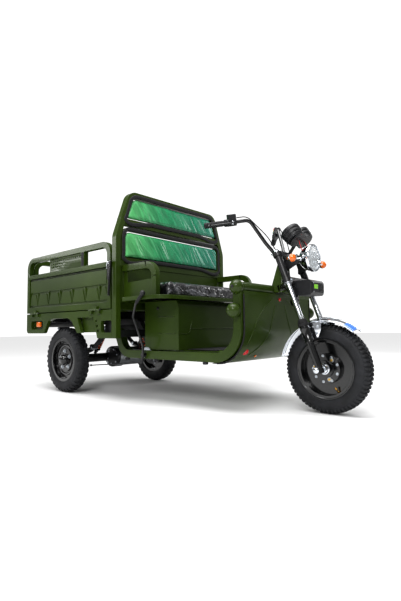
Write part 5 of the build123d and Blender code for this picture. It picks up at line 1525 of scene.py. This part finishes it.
# %% Brake plates, motor and its cable
plates = []
for side in (-1, 1):
    hub = Vector((ax, 0, az))
    plates.append(spun("brake_lip", [(84, side * 400), (91.5, side * 400), (91.5, side * 405), (84, side * 405)], hub,
                       powder, 56))
    plates.append(spun("brake_swage", [(52, side * 399), (56, side * 396.5), (68, side * 396.5), (72, side * 399),
                                       (72, side * 402), (52, side * 402)], hub, powder, 48))
    plates.append(bolts_round("brake_bolts", hub, side * 400, 42, 4, 11, zinc, -side, start=0.4))
    plates.append(wire("brake_arm", [(ax + 0.045, side * 0.392, az - 0.030), (ax + 0.055, side * 0.392, az - 0.055),
                                     (ax + 0.070, side * 0.392, az - 0.085)], 5 * mm, zinc))
put(join("brake_plates", plates), "body")
case = softened("drive_motor", powder, 1.6)
motor_at = Vector((ax + 0.150, 0, az + 0.010))
ribs = [(-0.118, 0.0722)]
for k in range(15):
    y = -0.116 + 0.0155 * k
    ribs += [(y, 0.0722), (y + 0.0005, 0.0752), (y + 0.0045, 0.0752), (y + 0.005, 0.0722)]
fins = turned("motor_fins", ribs, motor_at, motor_at + Vector((0, 1, 0)), cast, sides=48)
put(case, "body", "drive_motor")
put(fins, "body")
put(join("motor_bolts", [bolts_round("bolts", motor_at, side * 149.8, 60, 6, 10, zinc, side,
                                     start=0.3) for side in (-1, 1)]
         + [bolts_round("bolts", Vector((ax, 0, az)), side * 59.6, 60, 8, 11, zinc, side, start=0.2) for side in (-1,
             1)]), "body")
motor_cable = wire("motor_cable", [(ax + 0.17, 0.09, az + 0.08), (ax + 0.25, 0.14, az + 0.12),
                                   (ax + 0.40, 0.16, az + 0.20), (ax + 0.56, 0.15, az + 0.20),
                                   (-0.186, 0.14, 0.395)], 8 * mm, soft_rubber, soft=True, sides=3)
put(motor_cable, "body")

# %% [markdown]
# ## Controller, batteries and wiring
# The controller is a finned aluminium extrusion that bolts under the bed's front edge. Its wires
# end in white nylon plugs. Five sealed batteries stand in the box under the seat, joined in
# series by short red links between lead posts.

# %% Electrics tray and splash plates
converter_finish = flex("orange_converter_case", "#B5561E")
tray = [block("tray", (-0.600, -0.270, 0.430), (-0.230, 0.270, 0.433), powder, bevel=1 * mm)]
for side in (-1, 1):
    tray.append(block("tray_side", (-0.600, side * 0.2685 - 0.0015, 0.431), (-0.230, side * 0.2685 + 0.0015, 0.516),
                      powder, bevel=1 * mm))
    y = sorted((side * 0.400, side * 0.403))
    tray.append(block("splash_plate", (-1.290, y[0], 0.505), (-0.520, y[1], 0.572), powder, bevel=1 * mm))
    # Painted shade: a dark plate behind each front skirt bracket's window makes the window dark, as the shade under
    # the bed.
    y = sorted((side * 0.529, side * 0.526))
    tray.append(block("bracket_window_shade_plate", (-0.275, y[0], 0.430), (-0.148, y[1], 0.545), powder, bevel=1 * mm))
put(join("electrics_tray", tray), "body")
converter = [block("converter", (-0.560, -0.250, 0.4335), (-0.440, -0.130, 0.485), converter_finish, bevel=3 * mm)]
converter += [block("converter_fin", (-0.555, -0.246 + 0.014 * k, 0.484), (-0.445, -0.240 + 0.014 * k, 0.494),
                    converter_finish, bevel=1 * mm) for k in range(8)]
put(join("dc_converter", converter), "body")
put(block("charger_socket", (-0.400, -0.285, 0.440), (-0.350, -0.268, 0.480), white_nylon, bevel=3 * mm), "body")

# %% Controller
lowest, highest = (Vector(corner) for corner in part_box("controller_box"))
parts = [softened("controller_box", cast, 1.5)]
for k in range(13):
    y = lowest.y + 0.010 + k * 0.0305
    parts.append(block("fin", (lowest.x + 0.006, y, lowest.z - 0.007),
                       (highest.x - 0.006, y + 0.005, lowest.z + 0.001), cast, bevel=0.8 * mm))
    parts.append(block("fin", (lowest.x - 0.004, y, lowest.z + 0.008),
                       (lowest.x + 0.001, y + 0.005, highest.z - 0.008), cast, bevel=0.8 * mm))
put(join("controller_finned", parts), "body", "controller_box")
plugs = []
for k, y in enumerate((-0.185, -0.150, -0.118, -0.060, 0.02, 0.10)):
    plugs.append(block("plug", (lowest.x - 0.040, y, lowest.z + 0.030),
                       (lowest.x - 0.008, y + 0.020, lowest.z + 0.046), white_nylon, bevel=1.5 * mm))
    finish = (red_flex, blue_flex, yellow_flex, soft_rubber, red_flex, soft_rubber)[k]
    tail = wire(f"controller_wire_{k}", [(lowest.x + 0.004, y + 0.010, lowest.z + 0.038),
                                         (lowest.x - 0.045, y + 0.012, lowest.z + 0.036),
                                         (lowest.x - 0.075, y + 0.03, lowest.z + 0.070),
                                         (lowest.x - 0.06, y * 0.5, lowest.z + 0.110),
                                         (lowest.x - 0.02, y * 0.4, lowest.z + 0.150)], 3 * mm, finish, soft=True,
                                         sides=2)
    put(tail, "body")
put(join("wiring_plugs", plugs), "body")

# %% Batteries
lowest, highest = (Vector(corner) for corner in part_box("battery_pack"))
step = (highest.y - lowest.y) / 5
cases, posts, links = [], [], []
for k in range(5):
    y0, y1 = lowest.y + k * step + 0.001, lowest.y + (k + 1) * step - 0.001
    cases.append(block("battery_case", (lowest.x, y0, lowest.z), (highest.x, y1, highest.z - 0.020), abs_black,
                       bevel=4 * mm))
    cases.append(block("battery_lid", (lowest.x + 0.004, y0 + 0.004, highest.z - 0.030),
                       (highest.x - 0.004, y1 - 0.004, highest.z - 0.012), abs_black, bevel=3 * mm))
    for x, turn in ((lowest.x + 0.03, 0), (highest.x - 0.03, 1)):
        posts.append(turned("post", [(-0.014, 0.010), (-0.012, 0.010), (-0.011, 0.0075), (-0.001, 0.0065)],
                            (x, (y0 + y1) / 2, highest.z), (x, (y0 + y1) / 2, highest.z + 1), brass, sides=20))
    if k < 4:
        x = lowest.x + 0.03 if k % 2 else highest.x - 0.03
        links.append(wire("link", [(x, (y0 + y1) / 2, highest.z - 0.006),
                                   (x, (y0 + y1) / 2 + step * 0.5, highest.z - 0.005),
                                   (x, (y0 + y1) / 2 + step, highest.z - 0.006)],
                          4 * mm, red_flex, sides=3))
put(join("batteries", cases), "body", "battery_pack")
put(join("battery_posts", posts), "body")
put(join("battery_links", links), "body")

# %% [markdown]
# ## Lamps on the body
# Orange marker lamps sit in the skirts' rear brackets. The tail lamps have three moulded lenses
# side by side, orange, red and white, in a black base, and a blank number plate hangs between.

# %% Marker lamps, tail lamps and number plate
bases, lenses = [], []
lowest, highest = (Vector(corner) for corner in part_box("marker_lamps"))
for side, word in ((-1, "right"), (1, "left")):
    y = sorted((side * 0.5295, side * 0.546))
    bases.append(block("marker_base", (lowest.x, y[0], lowest.z), (highest.x, y[1], highest.z), abs_black,
                       bevel=2 * mm))
    y = sorted((side * 0.545, side * (highest.y)))
    lenses.append(block("marker_lens", (lowest.x + 0.003, y[0], lowest.z + 0.003),
                        (highest.x - 0.003, y[1], highest.z - 0.003), orange_lens, bevel=6 * mm))
put(join("marker_bases", bases), "body", "marker_lamps")
put(join("marker_lenses", lenses), "body")
lowest, highest = (Vector(corner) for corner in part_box("tail_lamps"))
bases = []
for side, word in ((-1, "right"), (1, "left")):
    y = sorted((side * 0.330, side * highest.y))
    bases.append(block("tail_base", (lowest.x + 0.012, y[0], lowest.z), (highest.x, y[1], highest.z), abs_black,
                       bevel=2.5 * mm))
    edges = [0.333, 0.378, 0.444, highest.y - 0.003]
    for finish, a, b in zip((white_lens, red_lens, orange_lens), edges, edges[1:]):
        y = sorted((side * (a + 0.0008), side * (b - 0.0008)))
        lens = block(f"tail_lens_{word}", (lowest.x, y[0], lowest.z + 0.004),
                     (lowest.x + 0.0145, y[1], highest.z - 0.004), finish, bevel=4 * mm)
        put(lens, "body")
put(join("tail_lamp_bases", bases), "body", "tail_lamps")
plate_x = low("chassis_frame", "x")
blank, tree, surface = material("blank_plate_aluminium", "#D9DADB", 0.35, metallic=0.6)
where = add_node(tree, "TexCoord")
brushed = add_node(tree, "TexNoise", [(where.outputs["Object"], "Vector")], scale=per_metre(10), detail=4.0)
spread = add_node(tree, "MapRange", [(brushed.outputs["Fac"], "Value")], to_min=0.25, to_max=0.45)
tree.links.new(spread.outputs["Result"], surface.inputs["Roughness"])
put(block("blank_number_plate", (plate_x - 0.0045, -0.110, 0.455), (plate_x - 0.0015, 0.110, 0.545), blank,
          bevel=1 * mm), "body")
put(join("plate_screws", [bolt("plate_screw", (plate_x - 0.0045, y, 0.530), (-1, 0, 0), 9, zinc) for y in (-0.06,
    0.06)]), "body")

# %% [markdown]
# ## Plugs, hinges, feet and floor mat
# The last small parts: plastic plugs in the rails' ball ends, dark hinge pins, rubber feet under
# the sills, small dark discs on the brackets that stand for their holes as painted shade, and a ribbed rubber mat in
# the footwell.

# %% Small parts
plugs = []
for side in (-1, 1):
    for z, y in ((0.580, 0.449), (0.712, 0.4392)):
        place = Vector((pillar_x, side * y, z))
        plugs.append(turned("ball_plug", [(0, 0.0095), (0.0015, 0.0095), (0.0025, 0.007), (0.0025, 0.004)],
                            place - Vector((0, side * 0.0012, 0)), place + Vector((0, side, 0)), abs_black, sides=24))
    for x in (-0.20, 0.10, 0.52):
        place = Vector((x, side * 0.392, low("side_rail_right", "z") + 0.002))
        plugs.append(turned("sill_foot", [(0, 0.016), (0.012, 0.017), (0.016, 0.014)], place,
                            place - Vector((0, 0, 1)), soft_rubber, sides=24))
put(join("rail_plugs", plugs), "body")
red_plug = turned("headstock_plug", [(0, 0.013), (0.004, 0.013), (0.007, 0.009)], (0.790, 0.0, 0.655),
                  (1.79, 0, 0.655), red_lens, sides=24)
put(red_plug, "body")
# Painted shade: small flat dark discs on the skirt brackets stand for their holes, whose insides are in shade.
heads = []
for side in (-1, 1):
    for x, z in ((-0.62, 0.545), (-0.62, 0.520), (-0.62, 0.495), (-0.61, 0.470)):
        heads.append(turned("bracket_hole", [(0, 0.006), (0.0012, 0.006), (0.0018, 0.005)],
                            (x, side * (half_bed - 0.0405 + 0.0005), z), (x, side, z), soft_rubber, sides=16))
put(join("bracket_hole_shades", heads), "body")
pins = []
for side, word in ((-1, "right"), (1, "left")):
    y = side * (half_bed + 0.011)
    z = 0.6185
    for x in (rear_x + 0.150, low("bed_skirt_right", "x") + 0.998):
        pins.append(turned("hinge_pin", [(-0.068, 0.0045), (-0.067, 0.0055), (-0.0625, 0.0055), (-0.062, 0.0033),
                                         (0.062, 0.0033), (0.0625, 0.0055), (0.067, 0.0055), (0.068, 0.0045)],
                           (x, y, z), (x + 1, y, z), powder, sides=16))
put(join("hinge_pins", pins), "body")
floor_low, floor_high = (Vector(corner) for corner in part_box("footwell_floor"))
mat = [block("mat_base", (floor_low.x + 0.022, -0.325, floor_high.z - 0.0005),
             (floor_high.x - 0.060, 0.325, floor_high.z + 0.003), soft_rubber, bevel=1 * mm)]
for k in range(25):
    y = -0.315 + k * 0.02625 - 0.0035
    mat.append(block("mat_rib", (floor_low.x + 0.030, y, floor_high.z + 0.002),
                     (floor_high.x - 0.068, y + 0.007, floor_high.z + 0.0055), soft_rubber, bevel=1.2 * mm))
put(join("floor_mat", mat), "body")

# %% [markdown]
# ## The frame's own pieces
# What has not been replaced keeps its CAD mesh and takes the finish that the real piece has.

# %% Finishes on the frame's pieces
kept_finish = {
    "chassis_frame": powder, "leaf_springs": powder, "rear_axle": powder, "controller_box": cast,
    "battery_pack": abs_black, "drive_motor": cast, "control_cables": soft_rubber, "front_axle": zinc,
}
for name, node in nodes.items():
    coat(node, kept_finish.get(name, powder))
    smooth(node, 35)
